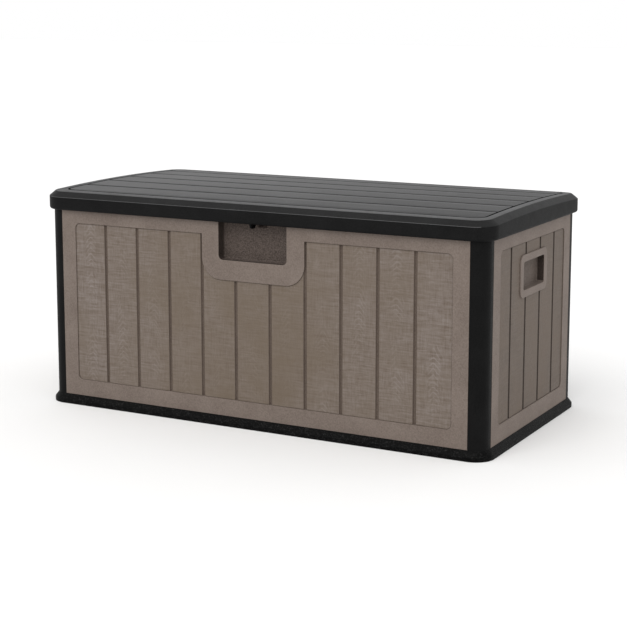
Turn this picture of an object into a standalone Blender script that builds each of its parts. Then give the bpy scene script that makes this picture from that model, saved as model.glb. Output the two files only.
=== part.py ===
"""Deck storage box: resin body on a sill, crowned lid on three rear hinges, and a pair of gas struts.

Metres, +Z up, front at -Y, length along X. The origin is the centre of the footprint on the ground.
Every piece is its own object. Moving pieces hang from empties that sit on their joint's axis.
"""
import math

import bmesh
import bpy
from mathutils import Matrix
from mathutils import Vector

# ---------------------------------------------------------------- driving dimensions
GAP = 0.0003                  # clearance between neighbouring pieces
CUT_CLEAR = 0.02              # how far a cutter runs past what it cuts

BODY_HALF_X = 0.632           # outer plane of the side walls
BODY_HALF_Y = 0.3135          # outer plane of the front and rear walls
WALL = 0.010                  # wall thickness
LAP = 0.005                   # half of the wall, for the shiplap between panel and post
POST_RADIUS = 0.035           # outer rounding of a corner post
POST_EDGE_X = 0.590           # seam between post and front panel
POST_EDGE_Y = 0.2685          # seam between post and side panel
LAP_LENGTH = 0.006            # how far a panel's tongue runs behind the post
WALL_TOP = 0.545              # top of the front, the sides and the front posts
REAR_TOP = 0.5363             # top of the rear panel and rear posts, just under the hinge axis

SILL_OVERHANG = 0.0119        # how far the sill stands out past the walls
SILL_EDGE = 0.011             # height of the sill's upright edge
SILL_TOP = 0.0254             # top of the sill, where the walls come out
SILL_RADIUS = 0.051
SILL_FLAT = 0.001             # level strip between the sill's slope and the wall
SEAT_FLOOR = 0.0174           # bottom of the channel that the walls stand in
POCKET_TOP = 0.0194           # roof of the pockets under the floor
POCKETS_X = 10
POCKETS_Y = 5
POCKET_RIB = 0.008

FIELD_HALF_X = 0.547          # planked field of the front and rear panels
FIELD_HALF_Y = 0.224          # planked field of the side panels
FIELD_LOW = 0.069
FIELD_HIGH = 0.4956
REAR_FIELD_HIGH = 0.455
FIELD_RADIUS = 0.014
FIELD_DEPTH = 0.0012
PLANK = 0.100                 # pitch of the planks
GROOVE_WIDTH = 0.009
GROOVE_DEPTH = 0.0027

RECESS_HALF_X = 0.099         # finger recess in the front, under the lid's edge
RECESS_LOW = 0.432
RECESS_RADIUS = 0.012
RECESS_DEPTH = 0.025
CUP_RIM = 0.010               # how far the recess's cup runs past its opening
CUP_SKIN = 0.003
SURROUND_HALF_X = 0.149       # smooth U-shaped surround of the finger recess
SURROUND_LOW = 0.380
SURROUND_RADIUS = 0.055

GRIP_Z = 0.4112               # middle of the side grips
GRIP_HALF_Y = 0.072
GRIP_HALF_Z = 0.0355
GRIP_DEPTH = 0.020
GRIP_SKIN = 0.0022
GRIP_RADIUS = 0.005
BEZEL_HALF_Y = 0.092
BEZEL_HALF_Z = 0.054
BEZEL_RADIUS = 0.019
BEZEL_HEIGHT = 0.0025         # above the planked field

LID_HALF_X = 0.6464
LID_HALF_Y = 0.3279
LID_RADIUS = 0.054
LID_SKIN = 0.0045
SKIRT_SKIN = 0.005
SKIRT_TOP = 0.565             # top of the upright skirt at the front edge
CHAMFER_INSET = 0.0165
CHAMFER_TOP = 0.578           # height of the chamfer's upper edge at the front
CROWN = 0.007                 # rise of the lid from its front edge to its middle
CROWN_REACH = 0.312           # distance from the middle where the rise is back to zero
LID_FIELD_HALF_X = 0.6055
LID_FIELD_FRONT = -0.279
LID_FIELD_REAR = 0.2975
LID_FIELD_RADIUS = 0.030
LID_PLANK = 0.103
LID_MIDDLE_GROOVE = 0.0265
LID_GROOVES = 5
LID_GROOVE_WIDTH = 0.006
LID_GROOVE_DEPTH = 0.0025
GROOVE_RISE = 0.001           # how far a groove cutter stands out of the lid's top

LINER_LOW = 0.5465
LINER_THICK = 0.004
LINER_REAR = 0.3185
LINER_RADIUS = 0.052
LINER_CLEAR = 0.0005          # from the liner's edge to the inside of the skirt
BRACE_HALF_X = 0.600
BRACE_Y = 0.150
BRACE_SIZE = (0.020, 0.010)
BRACE_SKIN = 0.0015

HINGE_Y = 0.3209
HINGE_Z = 0.5366
HINGE_X = (-0.42, 0.0, 0.42)
HINGE_NAMES = ("left", "centre", "right")
BARREL_RADIUS = 0.007
BORE_RADIUS = 0.0035
PIN_RADIUS = 0.003
PIN_HALF = 0.0425
BRACKET_HALF = 0.020
LUG_HALF = 0.043
LUG_SLOT_HALF = 0.0205
LUG_FLANGE_HALF = 0.058
LUG_TOP = 0.5605              # top of the notches in the lid's skirt
LUG_FLANGE_SKIN = 0.004
BRACKET_SKIN = 0.003
BRACKET_LOW = 0.470
BRACKET_FOOT_DROP = 0.0125    # from the hinge axis down to where the bracket is flat

LOCK_Y = -0.3065              # line of the padlock holes
LOCK_Z = 0.5315
LOCK_HOLE = 0.0042
LOCK_PLATE = 0.005
TAB_X = -0.0015
TAB_LOW = 0.5175
TAB_FRONT = -0.3195
TAB_BACK = -0.2955
TAB_NOSE = 0.008
TAB_FLANGE_HALF = 0.0155
EYE_X = 0.0170
EYE_HALF = 0.0095
EYE_FOOT_HALF = 0.012
LOCK_FOOT = 0.0025            # thickness of the flange behind each padlock plate

STRUT_X = 0.594               # plane of each strut
STRUT_LOW = (0.180, 0.275)    # (y, z) of the pivot on the wall
STRUT_HIGH = (0.230, 0.529)   # (y, z) of the pivot on the lid, closed
STRUT_EYE = 0.008
STRUT_EYE_HALF = 0.005
STUD_RADIUS = 0.004
STUD_BORE = 0.0046
COLLAR_RADIUS = 0.0065
STUD_PLAY = 0.0005            # between an eye and the collars or stud end beside it
TUBE_RADIUS = 0.0095
TUBE_BORE = 0.0083
TUBE_LOW = 0.0138
TUBE_HIGH = 0.205
ROD_RADIUS = 0.004
ROD_BORE = 0.0045
ROD_LOW = 0.032
ROD_NECK = 0.020
PISTON = (0.040, 0.048)       # ends of the piston along the strut
PLATE_SKIN = 0.003
ANGLE_SKIN = 0.003            # the angle bracket on the lid
ANGLE_LOW = 0.516
ANGLE_INNER = 0.6085
ANGLE_OUTER = 0.6205
ANGLE_HALF = 0.020

BROWN = (0.212, 0.168, 0.141)
DARK_BROWN = (0.090, 0.068, 0.058)
BLACK = (0.020, 0.020, 0.021)
CHARCOAL = (0.055, 0.055, 0.056)
ZINC = (0.55, 0.56, 0.58)
TUBE_BLACK = (0.010, 0.010, 0.011)


# ---------------------------------------------------------------- general helpers
def clear_scene():
    for item in list(bpy.data.objects):
        bpy.data.objects.remove(item, do_unlink=True)


def make_material(name, colour, roughness, metallic=0.0):
    material = bpy.data.materials.new(name)
    material.use_nodes = True
    shader = material.node_tree.nodes["Principled BSDF"]
    shader.inputs["Base Color"].default_value = (*colour, 1.0)
    shader.inputs["Roughness"].default_value = roughness
    shader.inputs["Metallic"].default_value = metallic
    material.diffuse_color = (*colour, 1.0)
    return material


def add_object(name, bm, finish, parent=None, smooth=False):
    """Turn a bmesh into an object; finish is (colour, roughness, metallic)."""
    bmesh.ops.recalc_face_normals(bm, faces=bm.faces[:])
    mesh = bpy.data.meshes.new(name)
    bm.to_mesh(mesh)
    bm.free()
    item = bpy.data.objects.new(name, mesh)
    bpy.context.scene.collection.objects.link(item)
    mesh.materials.append(make_material(name + "_finish", *finish))
    if smooth:
        mesh.shade_smooth()
        mesh.set_sharp_from_angle(angle=math.radians(35.0))
    item.parent = parent
    return item


def add_empty(name, location, tilt=0.0, parent=None):
    """An empty on a joint's axis; tilt leans its Z axis from +Z towards +Y."""
    pivot = bpy.data.objects.new(name, None)
    bpy.context.scene.collection.objects.link(pivot)
    pivot.parent = parent
    pivot.location = location
    pivot.rotation_euler = (-tilt, 0.0, 0.0)
    return pivot


def cut(target, bm, operation="DIFFERENCE", parent=None):
    """Apply a hidden Boolean operand, given as a bmesh, to an object."""
    bmesh.ops.recalc_face_normals(bm, faces=bm.faces[:])
    name = f"{target.name}_operand_{len(target.modifiers)}"
    mesh = bpy.data.meshes.new(name)
    bm.to_mesh(mesh)
    bm.free()
    operand = bpy.data.objects.new(name, mesh)
    bpy.context.scene.collection.objects.link(operand)
    operand.parent = parent
    operand.hide_render = True
    operand.display_type = "WIRE"
    modifier = target.modifiers.new(name, "BOOLEAN")
    modifier.operation = operation
    modifier.solver = "EXACT"
    modifier.object = operand


def place(axis, level, a, b):
    """A point from two in-plane coordinates and the level along the axis."""
    if axis == "X":
        return Vector((level, a, b))
    if axis == "Y":
        return Vector((a, level, b))
    return Vector((a, b, level))


def add_rings(bm, rings, closed=False, cap=True):
    """Bridge rings of equal length; closed joins the last ring to the first."""
    rows = [[bm.verts.new(point) for point in ring] for ring in rings]
    count = len(rows[0])
    pairs = list(zip(rows, rows[1:]))
    if closed:
        pairs.append((rows[-1], rows[0]))
    for low, high in pairs:
        for i in range(count):
            j = (i + 1) % count
            bm.faces.new((low[i], low[j], high[j], high[i]))
    if cap and not closed:
        bm.faces.new(rows[0])
        bm.faces.new(rows[-1])
    return rows


def prism(outline, axis, low, high, bm=None):
    bm = bm or bmesh.new()
    add_rings(bm, [[place(axis, level, a, b) for a, b in outline] for level in (low, high)])
    return bm


def box(low, high, bm=None):
    outline = ((low[0], low[1]), (high[0], low[1]), (high[0], high[1]), (low[0], high[1]))
    return prism(outline, "Z", low[2], high[2], bm)


def arc(centre, radius, start, stop, steps):
    """Points of an arc, both ends included; angles in degrees."""
    points = []
    for i in range(steps + 1):
        angle = math.radians(start + (stop - start) * i / steps)
        points.append((centre[0] + radius * math.cos(angle), centre[1] + radius * math.sin(angle)))
    return points


def rounded_rectangle(half_a, half_b, radius, steps=4, centre=(0.0, 0.0), side_steps=1):
    """Anticlockwise outline; the right half comes first, front to back, then the left, back to front."""
    a = half_a - radius
    b = half_b - radius
    right = arc((a, -b), radius, -90.0, 0.0, steps)
    for i in range(1, side_steps):
        right.append((half_a, -b + 2.0 * b * i / side_steps))
    right += arc((a, b), radius, 0.0, 90.0, steps)
    left = [(-x, y) for x, y in reversed(right)]
    return [(centre[0] + x, centre[1] + y) for x, y in right + left]


def turned(profile, axis, centre, segments=20, closed=False):
    """Turn a profile of (level, radius) points about an axis through centre, an in-plane pair."""
    bm = bmesh.new()
    rings = []
    for level, radius in profile:
        ring = arc(centre, radius, 0.0, 360.0, segments)[:-1]
        rings.append([place(axis, level, a, b) for a, b in ring])
    add_rings(bm, rings, closed)
    return bm


def cylinder(axis, centre, radius, low, high, segments=20):
    return turned(((low, radius), (high, radius)), axis, centre, segments)


# ---------------------------------------------------------------- finishes
def resin(colour, roughness=0.55):
    return (colour, roughness, 0.0)


def steel(colour=ZINC, roughness=0.35):
    return (colour, roughness, 1.0)


# ---------------------------------------------------------------- sill and floor
def build_base_tray():
    half_x = BODY_HALF_X + SILL_OVERHANG
    half_y = BODY_HALF_Y + SILL_OVERHANG
    edge = ((0.0012, 0.0), (0.0, 0.0016), (0.0, SILL_EDGE), (SILL_OVERHANG - SILL_FLAT, SILL_TOP))
    rings = []
    for inset, level in edge:
        outline = rounded_rectangle(half_x - inset, half_y - inset, SILL_RADIUS - inset, 6)
        rings.append([Vector((x, y, level)) for x, y in outline])
    bm = bmesh.new()
    add_rings(bm, rings)
    tray = add_object("base_tray", bm, resin(BLACK))

    seat = bmesh.new()
    channel = []
    top = SILL_TOP + CUT_CLEAR
    inner = -WALL - GAP
    for offset, level in ((GAP, SEAT_FLOOR), (GAP, top), (inner, top), (inner, SEAT_FLOOR)):
        half = (BODY_HALF_X + offset, BODY_HALF_Y + offset)
        outline = rounded_rectangle(*half, POST_RADIUS + offset, 6)
        channel.append([Vector((x, y, level)) for x, y in outline])
    add_rings(seat, channel, closed=True)
    cut(tray, seat)

    pockets = bmesh.new()
    span_x = 2.0 * (BODY_HALF_X - WALL) / POCKETS_X
    span_y = 2.0 * (BODY_HALF_Y - WALL) / POCKETS_Y
    for i in range(POCKETS_X):
        for j in range(POCKETS_Y):
            x = (i - POCKETS_X / 2) * span_x
            y = (j - POCKETS_Y / 2) * span_y
            low = (x + POCKET_RIB / 2, y + POCKET_RIB / 2, -CUT_CLEAR)
            high = (x + span_x - POCKET_RIB / 2, y + span_y - POCKET_RIB / 2, POCKET_TOP)
            box(low, high, pockets)
    cut(tray, pockets)


# ---------------------------------------------------------------- walls
def panel_outline(edge, half_depth):
    """Plan of a panel, outer face at -half_depth, with a tongue along both ends."""
    outer = -half_depth
    step = outer + LAP + GAP
    inner = outer + WALL
    face = edge - GAP / 2
    tongue = edge + LAP_LENGTH
    right = ((face, outer), (face, step), (tongue, step), (tongue, inner))
    return list(right) + [(-x, y) for x, y in reversed(right)]


def turn_outline(outline, quarter_turns):
    for _ in range(quarter_turns):
        outline = [(-y, x) for x, y in outline]
    return outline


def surround_field():
    """Outline of the front field: a rounded rectangle with a U-shaped bite for the surround."""
    r = FIELD_RADIUS
    x = FIELD_HALF_X - r
    u = SURROUND_HALF_X - SURROUND_RADIUS
    right = arc((x, FIELD_LOW + r), r, -90.0, 0.0, 4)
    right += arc((x, FIELD_HIGH - r), r, 0.0, 90.0, 4)
    right.append((SURROUND_HALF_X, FIELD_HIGH))
    right += arc((u, SURROUND_LOW + SURROUND_RADIUS), SURROUND_RADIUS, 0.0, -90.0, 6)
    return right + [(-a, b) for a, b in reversed(right)]


def plain_field(half, high):
    middle = (FIELD_LOW + high) / 2
    return rounded_rectangle(half, (high - FIELD_LOW) / 2, FIELD_RADIUS, 4, (0.0, middle))


def cut_field(panel, outline, outer, sign, axis):
    """Sink the planked field; outer is the panel's outer plane, sign the way it faces."""
    cut(panel, prism(outline, axis, outer - sign * FIELD_DEPTH, outer + sign * CUT_CLEAR))


def cut_grooves(panel, positions, outer, sign, axis):
    """V grooves between planks: positions are (place, low, high)."""
    inside = 0.0005
    grooves = bmesh.new()
    face = outer - sign * FIELD_DEPTH
    for centre, low, high in positions:
        rings = []
        for z in (low + inside, high - inside):
            section = ((-1.4, 0.4), (1.4, 0.4), (0.0, -1.0))
            ring = []
            for across, out in section:
                a = centre + across * GROOVE_WIDTH / 2
                level = face + sign * out * GROOVE_DEPTH
                ring.append(place(axis, level, a, z))
            rings.append(ring)
        add_rings(grooves, rings)
    cut(panel, grooves)


def build_front_panel():
    outline = panel_outline(POST_EDGE_X, BODY_HALF_Y)
    slab = prism(outline, "Z", SEAT_FLOOR + GAP, WALL_TOP)
    panel = add_object("front_panel", slab, resin(BROWN))
    cut_field(panel, surround_field(), -BODY_HALF_Y, -1.0, "Y")
    grooves = []
    for side in (-1, 1):
        for number in range(5):
            high = SURROUND_LOW if number == 0 else FIELD_HIGH
            grooves.append((side * PLANK * (number + 0.5), FIELD_LOW, high))
    cut_grooves(panel, grooves, -BODY_HALF_Y, -1.0, "Y")
    cut(panel, recess_cutter(-BODY_HALF_Y + WALL + CUT_CLEAR))


def recess_outline():
    r = RECESS_RADIUS
    corner = arc((RECESS_HALF_X - r, RECESS_LOW + r), r, -90.0, 0.0, 4)
    right = corner + [(RECESS_HALF_X, WALL_TOP + CUT_CLEAR)]
    return right + [(-a, b) for a, b in reversed(right)]


def recess_cutter(back):
    return prism(recess_outline(), "Y", -BODY_HALF_Y - CUT_CLEAR, back)


def build_front_grip_cup():
    """Pocket behind the finger recess: a back wall with a rim that meets the panel."""
    front = -BODY_HALF_Y + WALL + GAP
    back_wall = -BODY_HALF_Y + RECESS_DEPTH
    low = (-RECESS_HALF_X - CUP_RIM, front, RECESS_LOW - CUP_RIM)
    high = (RECESS_HALF_X + CUP_RIM, back_wall + CUP_SKIN, WALL_TOP - GAP)
    cup = add_object("front_grip_cup", box(low, high), resin(DARK_BROWN, 0.75))
    cut(cup, recess_cutter(back_wall))


def build_rear_panel():
    outline = turn_outline(panel_outline(POST_EDGE_X, BODY_HALF_Y), 2)
    slab = prism(outline, "Z", SEAT_FLOOR + GAP, REAR_TOP)
    panel = add_object("rear_panel", slab, resin(BROWN))
    cut_field(panel, plain_field(FIELD_HALF_X, REAR_FIELD_HIGH), BODY_HALF_Y, 1.0, "Y")
    grooves = [((number - 4.5) * PLANK, FIELD_LOW, REAR_FIELD_HIGH) for number in range(10)]
    cut_grooves(panel, grooves, BODY_HALF_Y, 1.0, "Y")


def build_side_panel(name, sign):
    outline = turn_outline(panel_outline(POST_EDGE_Y, BODY_HALF_X), 1 if sign > 0 else 3)
    panel = add_object(name, prism(outline, "Z", SEAT_FLOOR + GAP, WALL_TOP), resin(BROWN))
    outer = sign * BODY_HALF_X
    cut_field(panel, plain_field(FIELD_HALF_Y, FIELD_HIGH), outer, sign, "X")
    grooves = [((number - 1.5) * PLANK, FIELD_LOW, FIELD_HIGH) for number in range(4)]
    cut_grooves(panel, grooves, outer, sign, "X")
    clear = GRIP_SKIN + GAP
    half = (GRIP_HALF_Y + clear, GRIP_HALF_Z + clear)
    hole = rounded_rectangle(*half, GRIP_RADIUS + GRIP_SKIN + 0.0001, 4, (0.0, GRIP_Z))
    cut(panel, prism(hole, "X", outer - sign * CUT_CLEAR, outer + sign * CUT_CLEAR))


def build_side_grip(name, sign):
    """A bezel and its finger pocket in one moulding, clipped into the side panel."""
    field = BODY_HALF_X - FIELD_DEPTH
    face = field + BEZEL_HEIGHT
    back = face - GRIP_DEPTH - GRIP_SKIN
    ease = 0.001
    cup = (GRIP_HALF_Y + GRIP_SKIN, GRIP_HALF_Z + GRIP_SKIN, GRIP_RADIUS + GRIP_SKIN)
    bezel = (BEZEL_HALF_Y, BEZEL_HALF_Z, BEZEL_RADIUS)
    eased = (BEZEL_HALF_Y - ease, BEZEL_HALF_Z - ease, BEZEL_RADIUS - ease)
    pocket = (GRIP_HALF_Y, GRIP_HALF_Z, GRIP_RADIUS)
    levels = (
        (cup, back),
        (cup, field + GAP),
        (bezel, field + GAP),
        (bezel, face - ease),
        (eased, face),
        (pocket, face),
        (pocket, face - GRIP_DEPTH),
    )
    rings = []
    for (half_y, half_z, radius), level in levels:
        outline = rounded_rectangle(half_y, half_z, radius, 4, (0.0, GRIP_Z))
        rings.append([Vector((sign * level, y, z)) for y, z in outline])
    bm = bmesh.new()
    add_rings(bm, rings)
    add_object(name, bm, resin(BROWN))


def build_post(name, sign_x, sign_y):
    """A rounded corner with a flange over each neighbouring panel's tongue."""
    centre = (BODY_HALF_X - POST_RADIUS, -(BODY_HALF_Y - POST_RADIUS))
    x_seam = POST_EDGE_X + GAP / 2
    y_seam = -(POST_EDGE_Y + GAP / 2)
    x_full = POST_EDGE_X + LAP_LENGTH + GAP
    y_full = -(POST_EDGE_Y + LAP_LENGTH + GAP)
    outline = [(x_seam, -BODY_HALF_Y)]
    outline += arc(centre, POST_RADIUS, -90.0, 0.0, 8)
    outline += [(BODY_HALF_X, y_seam), (BODY_HALF_X - LAP, y_seam), (BODY_HALF_X - LAP, y_full)]
    outline.append((BODY_HALF_X - WALL, y_full))
    outline += arc(centre, POST_RADIUS - WALL, 0.0, -90.0, 6)
    outline += [(x_full, -BODY_HALF_Y + WALL), (x_full, -BODY_HALF_Y + LAP)]
    outline.append((x_seam, -BODY_HALF_Y + LAP))
    outline = [(sign_x * x, -sign_y * y) for x, y in outline]
    top = WALL_TOP if sign_y < 0 else REAR_TOP
    post = prism(outline, "Z", SEAT_FLOOR + GAP, top)
    add_object(name, post, resin(BLACK), smooth=True)


# ---------------------------------------------------------------- lid
def crown(y):
    return CROWN * (1.0 - (y / CROWN_REACH) ** 2)


def lid_ring(inset, level, crowned):
    half_x = LID_HALF_X - inset
    half_y = LID_HALF_Y - inset
    outline = rounded_rectangle(half_x, half_y, LID_RADIUS - inset, 5, side_steps=8)
    return [Vector((x, y, level + (crown(y) if crowned else 0.0))) for x, y in outline]


def cap_across(bm, row):
    """Close a ring with strips that run straight across, so the cap follows the crown."""
    half = len(row) // 2
    for i in range(half - 1):
        bm.faces.new((row[i], row[i + 1], row[-2 - i], row[-1 - i]))


def build_lid_shell(parent):
    rings = [
        lid_ring(CHAMFER_INSET + 0.0025, CHAMFER_TOP - LID_SKIN, True),
        lid_ring(SKIRT_SKIN, SKIRT_TOP - 0.003, True),
    ]
    # the skirt's foot is rounded about the hinge axis, so that it turns clear of the rear wall
    for angle in (73.4, 50.0, 25.0, 0.0):
        turn = math.radians(angle)
        inset = BARREL_RADIUS * (1.0 - math.cos(turn))
        rings.append(lid_ring(inset, HINGE_Z - BARREL_RADIUS * math.sin(turn), False))
    rings.append(lid_ring(0.0, SKIRT_TOP, True))
    rings.append(lid_ring(CHAMFER_INSET, CHAMFER_TOP, True))
    bm = bmesh.new()
    rows = add_rings(bm, rings, cap=False)
    cap_across(bm, rows[0])
    cap_across(bm, rows[-1])
    shell = add_object("lid_shell", bm, resin(CHARCOAL, 0.6))

    notches = bmesh.new()
    for x in HINGE_X:
        low = (x - LUG_HALF - 0.0005, HINGE_Y - 0.003, HINGE_Z - CUT_CLEAR)
        high = (x + LUG_HALF + 0.0005, HINGE_Y + CUT_CLEAR, LUG_TOP)
        box(low, high, notches)
    cut(shell, notches)

    border = bmesh.new()
    centre = (0.0, (LID_FIELD_FRONT + LID_FIELD_REAR) / 2)
    half_y = (LID_FIELD_REAR - LID_FIELD_FRONT) / 2
    rings = []
    for offset, rise in ((-0.5, GROOVE_RISE), (0.0, -LID_GROOVE_DEPTH), (0.5, GROOVE_RISE)):
        grow = offset * LID_GROOVE_WIDTH
        half = (LID_FIELD_HALF_X + grow, half_y + grow)
        outline = rounded_rectangle(*half, LID_FIELD_RADIUS + grow, 4, centre, 8)
        rings.append([Vector((x, y, CHAMFER_TOP + crown(y) + rise)) for x, y in outline])
    add_rings(border, rings, closed=True)
    cut(shell, border)

    grooves = bmesh.new()
    for number in range(LID_GROOVES):
        y = LID_MIDDLE_GROOVE + (number - LID_GROOVES // 2) * LID_PLANK
        top = CHAMFER_TOP + crown(y)
        half = LID_GROOVE_WIDTH / 2
        rise = top + GROOVE_RISE
        section = ((y - half, rise), (y, top - LID_GROOVE_DEPTH), (y + half, rise))
        prism(section, "X", -LID_FIELD_HALF_X, LID_FIELD_HALF_X, grooves)
    cut(shell, grooves)
    place_on_pivot(shell, parent)


def place_on_pivot(item, parent):
    """Hang an object modelled in world coordinates on an upright pivot without moving it."""
    shift = Matrix.Translation(-parent.location)
    for piece in [item] + [modifier.object for modifier in item.modifiers]:
        piece.data.transform(shift)
        piece.parent = parent


def build_lid_liner(parent):
    half_x = LID_HALF_X - SKIRT_SKIN - LINER_CLEAR
    front = -(LID_HALF_Y - SKIRT_SKIN - LINER_CLEAR)
    half_y = (LINER_REAR - front) / 2
    outline = rounded_rectangle(half_x, half_y, LINER_RADIUS, 5, (0.0, (LINER_REAR + front) / 2))
    plate = prism(outline, "Z", LINER_LOW, LINER_LOW + LINER_THICK)
    liner = add_object("lid_liner", plate, resin(BLACK, 0.6))
    place_on_pivot(liner, parent)


def build_lid_brace(name, y, parent):
    """A square steel tube that stiffens the lid between its shell and its liner."""
    low = LINER_LOW + LINER_THICK + GAP
    centre = (y, low + BRACE_SIZE[1] / 2)
    rings = []
    for level, skin in ((-1, 0.0), (1, 0.0), (1, BRACE_SKIN), (-1, BRACE_SKIN)):
        half_y = BRACE_SIZE[0] / 2 - skin
        half_z = BRACE_SIZE[1] / 2 - skin
        corners = ((-half_y, -half_z), (half_y, -half_z), (half_y, half_z), (-half_y, half_z))
        ring = [Vector((level * BRACE_HALF_X, centre[0] + a, centre[1] + b)) for a, b in corners]
        rings.append(ring)
    bm = bmesh.new()
    add_rings(bm, rings, closed=True)
    place_on_pivot(add_object(name, bm, steel()), parent)


# ---------------------------------------------------------------- hinges
def bore_cutter(x):
    reach = LUG_HALF + CUT_CLEAR
    return cylinder("X", (HINGE_Y, HINGE_Z), BORE_RADIUS, x - reach, x + reach)


def build_hinge_bracket(name, x):
    """A plate on the rear wall that ends in the middle barrel of the hinge."""
    wall = BODY_HALF_Y + GAP
    barrel = arc((HINGE_Y, HINGE_Z), BARREL_RADIUS, 180.0, -50.0, 12)
    face = wall + BRACKET_SKIN
    outline = [(wall, BRACKET_LOW), (wall, HINGE_Z)] + barrel[1:]
    outline += [(face, HINGE_Z - BRACKET_FOOT_DROP), (face, BRACKET_LOW)]
    bracket = add_object(name, prism(outline, "X", x - BRACKET_HALF, x + BRACKET_HALF), resin(BLACK))
    cut(bracket, bore_cutter(x))


def build_hinge_lug(name, x, parent):
    """The lid's half: two barrels under a bridge that fills a notch in the lid's skirt."""
    skirt_in = LID_HALF_Y - SKIRT_SKIN
    notch_top = LUG_TOP - GAP
    outline = arc((HINGE_Y, HINGE_Z), BARREL_RADIUS, 0.0, -286.6, 16)
    outline += [(skirt_in, notch_top), (LID_HALF_Y, notch_top)]
    lug = add_object(name, prism(outline, "X", x - LUG_HALF, x + LUG_HALF), resin(BLACK))
    flange_foot = LINER_LOW + LINER_THICK + 0.001
    flange_low = (x - LUG_FLANGE_HALF, skirt_in - LUG_FLANGE_SKIN, flange_foot)
    flange_high = (x + LUG_FLANGE_HALF, skirt_in - GAP, notch_top)
    cut(lug, box(flange_low, flange_high), "UNION")
    inset = 0.002
    web_low = (x - LUG_HALF + inset, skirt_in - inset, flange_foot + inset / 2)
    web_high = (x + LUG_HALF - inset, skirt_in + inset, notch_top - inset / 2)
    cut(lug, box(web_low, web_high), "UNION")
    slot_low = (x - LUG_SLOT_HALF, HINGE_Y - CUT_CLEAR, HINGE_Z - CUT_CLEAR)
    slot_high = (x + LUG_SLOT_HALF, HINGE_Y + CUT_CLEAR, HINGE_Z + BARREL_RADIUS + 0.001)
    cut(lug, box(slot_low, slot_high))
    cut(lug, bore_cutter(x))
    place_on_pivot(lug, parent)


def build_hinge_pin(name, x):
    bm = cylinder("X", (HINGE_Y, HINGE_Z), PIN_RADIUS, x - PIN_HALF, x + PIN_HALF, 16)
    add_object(name, bm, steel(), smooth=True)


# ---------------------------------------------------------------- padlock pieces
def lock_hole(x):
    reach = LOCK_PLATE / 2 + CUT_CLEAR
    return cylinder("X", (LOCK_Y, LOCK_Z), LOCK_HOLE, x - reach, x + reach, 16)


def build_padlock_tab(parent):
    """A plate that hangs from the lid into the finger recess, with a hole for a shackle."""
    top = LINER_LOW - GAP
    nose_z = TAB_LOW + TAB_NOSE
    outline = [(TAB_BACK, top), (TAB_FRONT, top), (TAB_FRONT, nose_z)]
    outline += arc((TAB_FRONT + TAB_NOSE, nose_z), TAB_NOSE, 180.0, 270.0, 4)[1:]
    outline += arc((TAB_BACK - TAB_NOSE, nose_z), TAB_NOSE, 270.0, 360.0, 4)
    plate = prism(outline, "X", TAB_X - LOCK_PLATE / 2, TAB_X + LOCK_PLATE / 2)
    tab = add_object("padlock_tab", plate, resin(BLACK))
    flange_low = (TAB_X - TAB_FLANGE_HALF, TAB_FRONT - 0.001, top - LOCK_FOOT)
    flange_high = (TAB_X + TAB_FLANGE_HALF, TAB_BACK + 0.001, top)
    cut(tab, box(flange_low, flange_high), "UNION")
    cut(tab, lock_hole(TAB_X))
    place_on_pivot(tab, parent)


def build_padlock_eye():
    """The body's half: a plate that stands out of the recess's back wall."""
    wall = -BODY_HALF_Y + RECESS_DEPTH - GAP
    outline = [(wall, LOCK_Z - EYE_HALF), (wall, LOCK_Z + EYE_HALF)]
    outline += arc((LOCK_Y + 0.0015, LOCK_Z), EYE_HALF, 90.0, 270.0, 8)
    plate = prism(outline, "X", EYE_X - LOCK_PLATE / 2, EYE_X + LOCK_PLATE / 2)
    eye = add_object("padlock_eye", plate, resin(BLACK))
    foot_low = (EYE_X - EYE_FOOT_HALF, wall - LOCK_FOOT, LOCK_Z - EYE_HALF - 0.0035)
    foot_high = (EYE_X + EYE_FOOT_HALF, wall, LOCK_Z + EYE_HALF + 0.001)
    cut(eye, box(foot_low, foot_high), "UNION")
    cut(eye, lock_hole(EYE_X))


# ---------------------------------------------------------------- gas struts
def strut_length():
    return math.hypot(STRUT_HIGH[0] - STRUT_LOW[0], STRUT_HIGH[1] - STRUT_LOW[1])


def strut_tilt():
    return math.atan2(STRUT_HIGH[0] - STRUT_LOW[0], STRUT_HIGH[1] - STRUT_LOW[1])


def eye_outline(height, neck_end):
    """Eye around (0, height) with a neck that runs down or up to neck_end."""
    neck = 0.0055
    reach = math.sqrt(STRUT_EYE ** 2 - neck ** 2)
    angle = math.degrees(math.atan2(reach, neck))
    if neck_end < height:
        round_part = arc((0.0, height), STRUT_EYE, -angle, 180.0 + angle, 14)
        return round_part + [(-neck, neck_end), (neck, neck_end)]
    round_part = arc((0.0, height), STRUT_EYE, angle, -180.0 - angle, 14)
    return round_part + [(-neck, neck_end), (neck, neck_end)]


def build_eye(name, height, neck_end, parent):
    bm = prism(eye_outline(height, neck_end), "X", -STRUT_EYE_HALF, STRUT_EYE_HALF)
    eye = add_object(name, bm, resin(TUBE_BLACK, 0.45), parent)
    bore = cylinder("X", (0.0, height), STUD_BORE, -CUT_CLEAR, CUT_CLEAR, 16)
    cut(eye, bore, parent=parent)


def add_turned(name, profile, finish, parent, closed=False):
    """A piece turned about the strut's own axis."""
    bm = turned(profile, "Z", (0.0, 0.0), closed=closed)
    add_object(name, bm, finish, parent, smooth=True)


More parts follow.
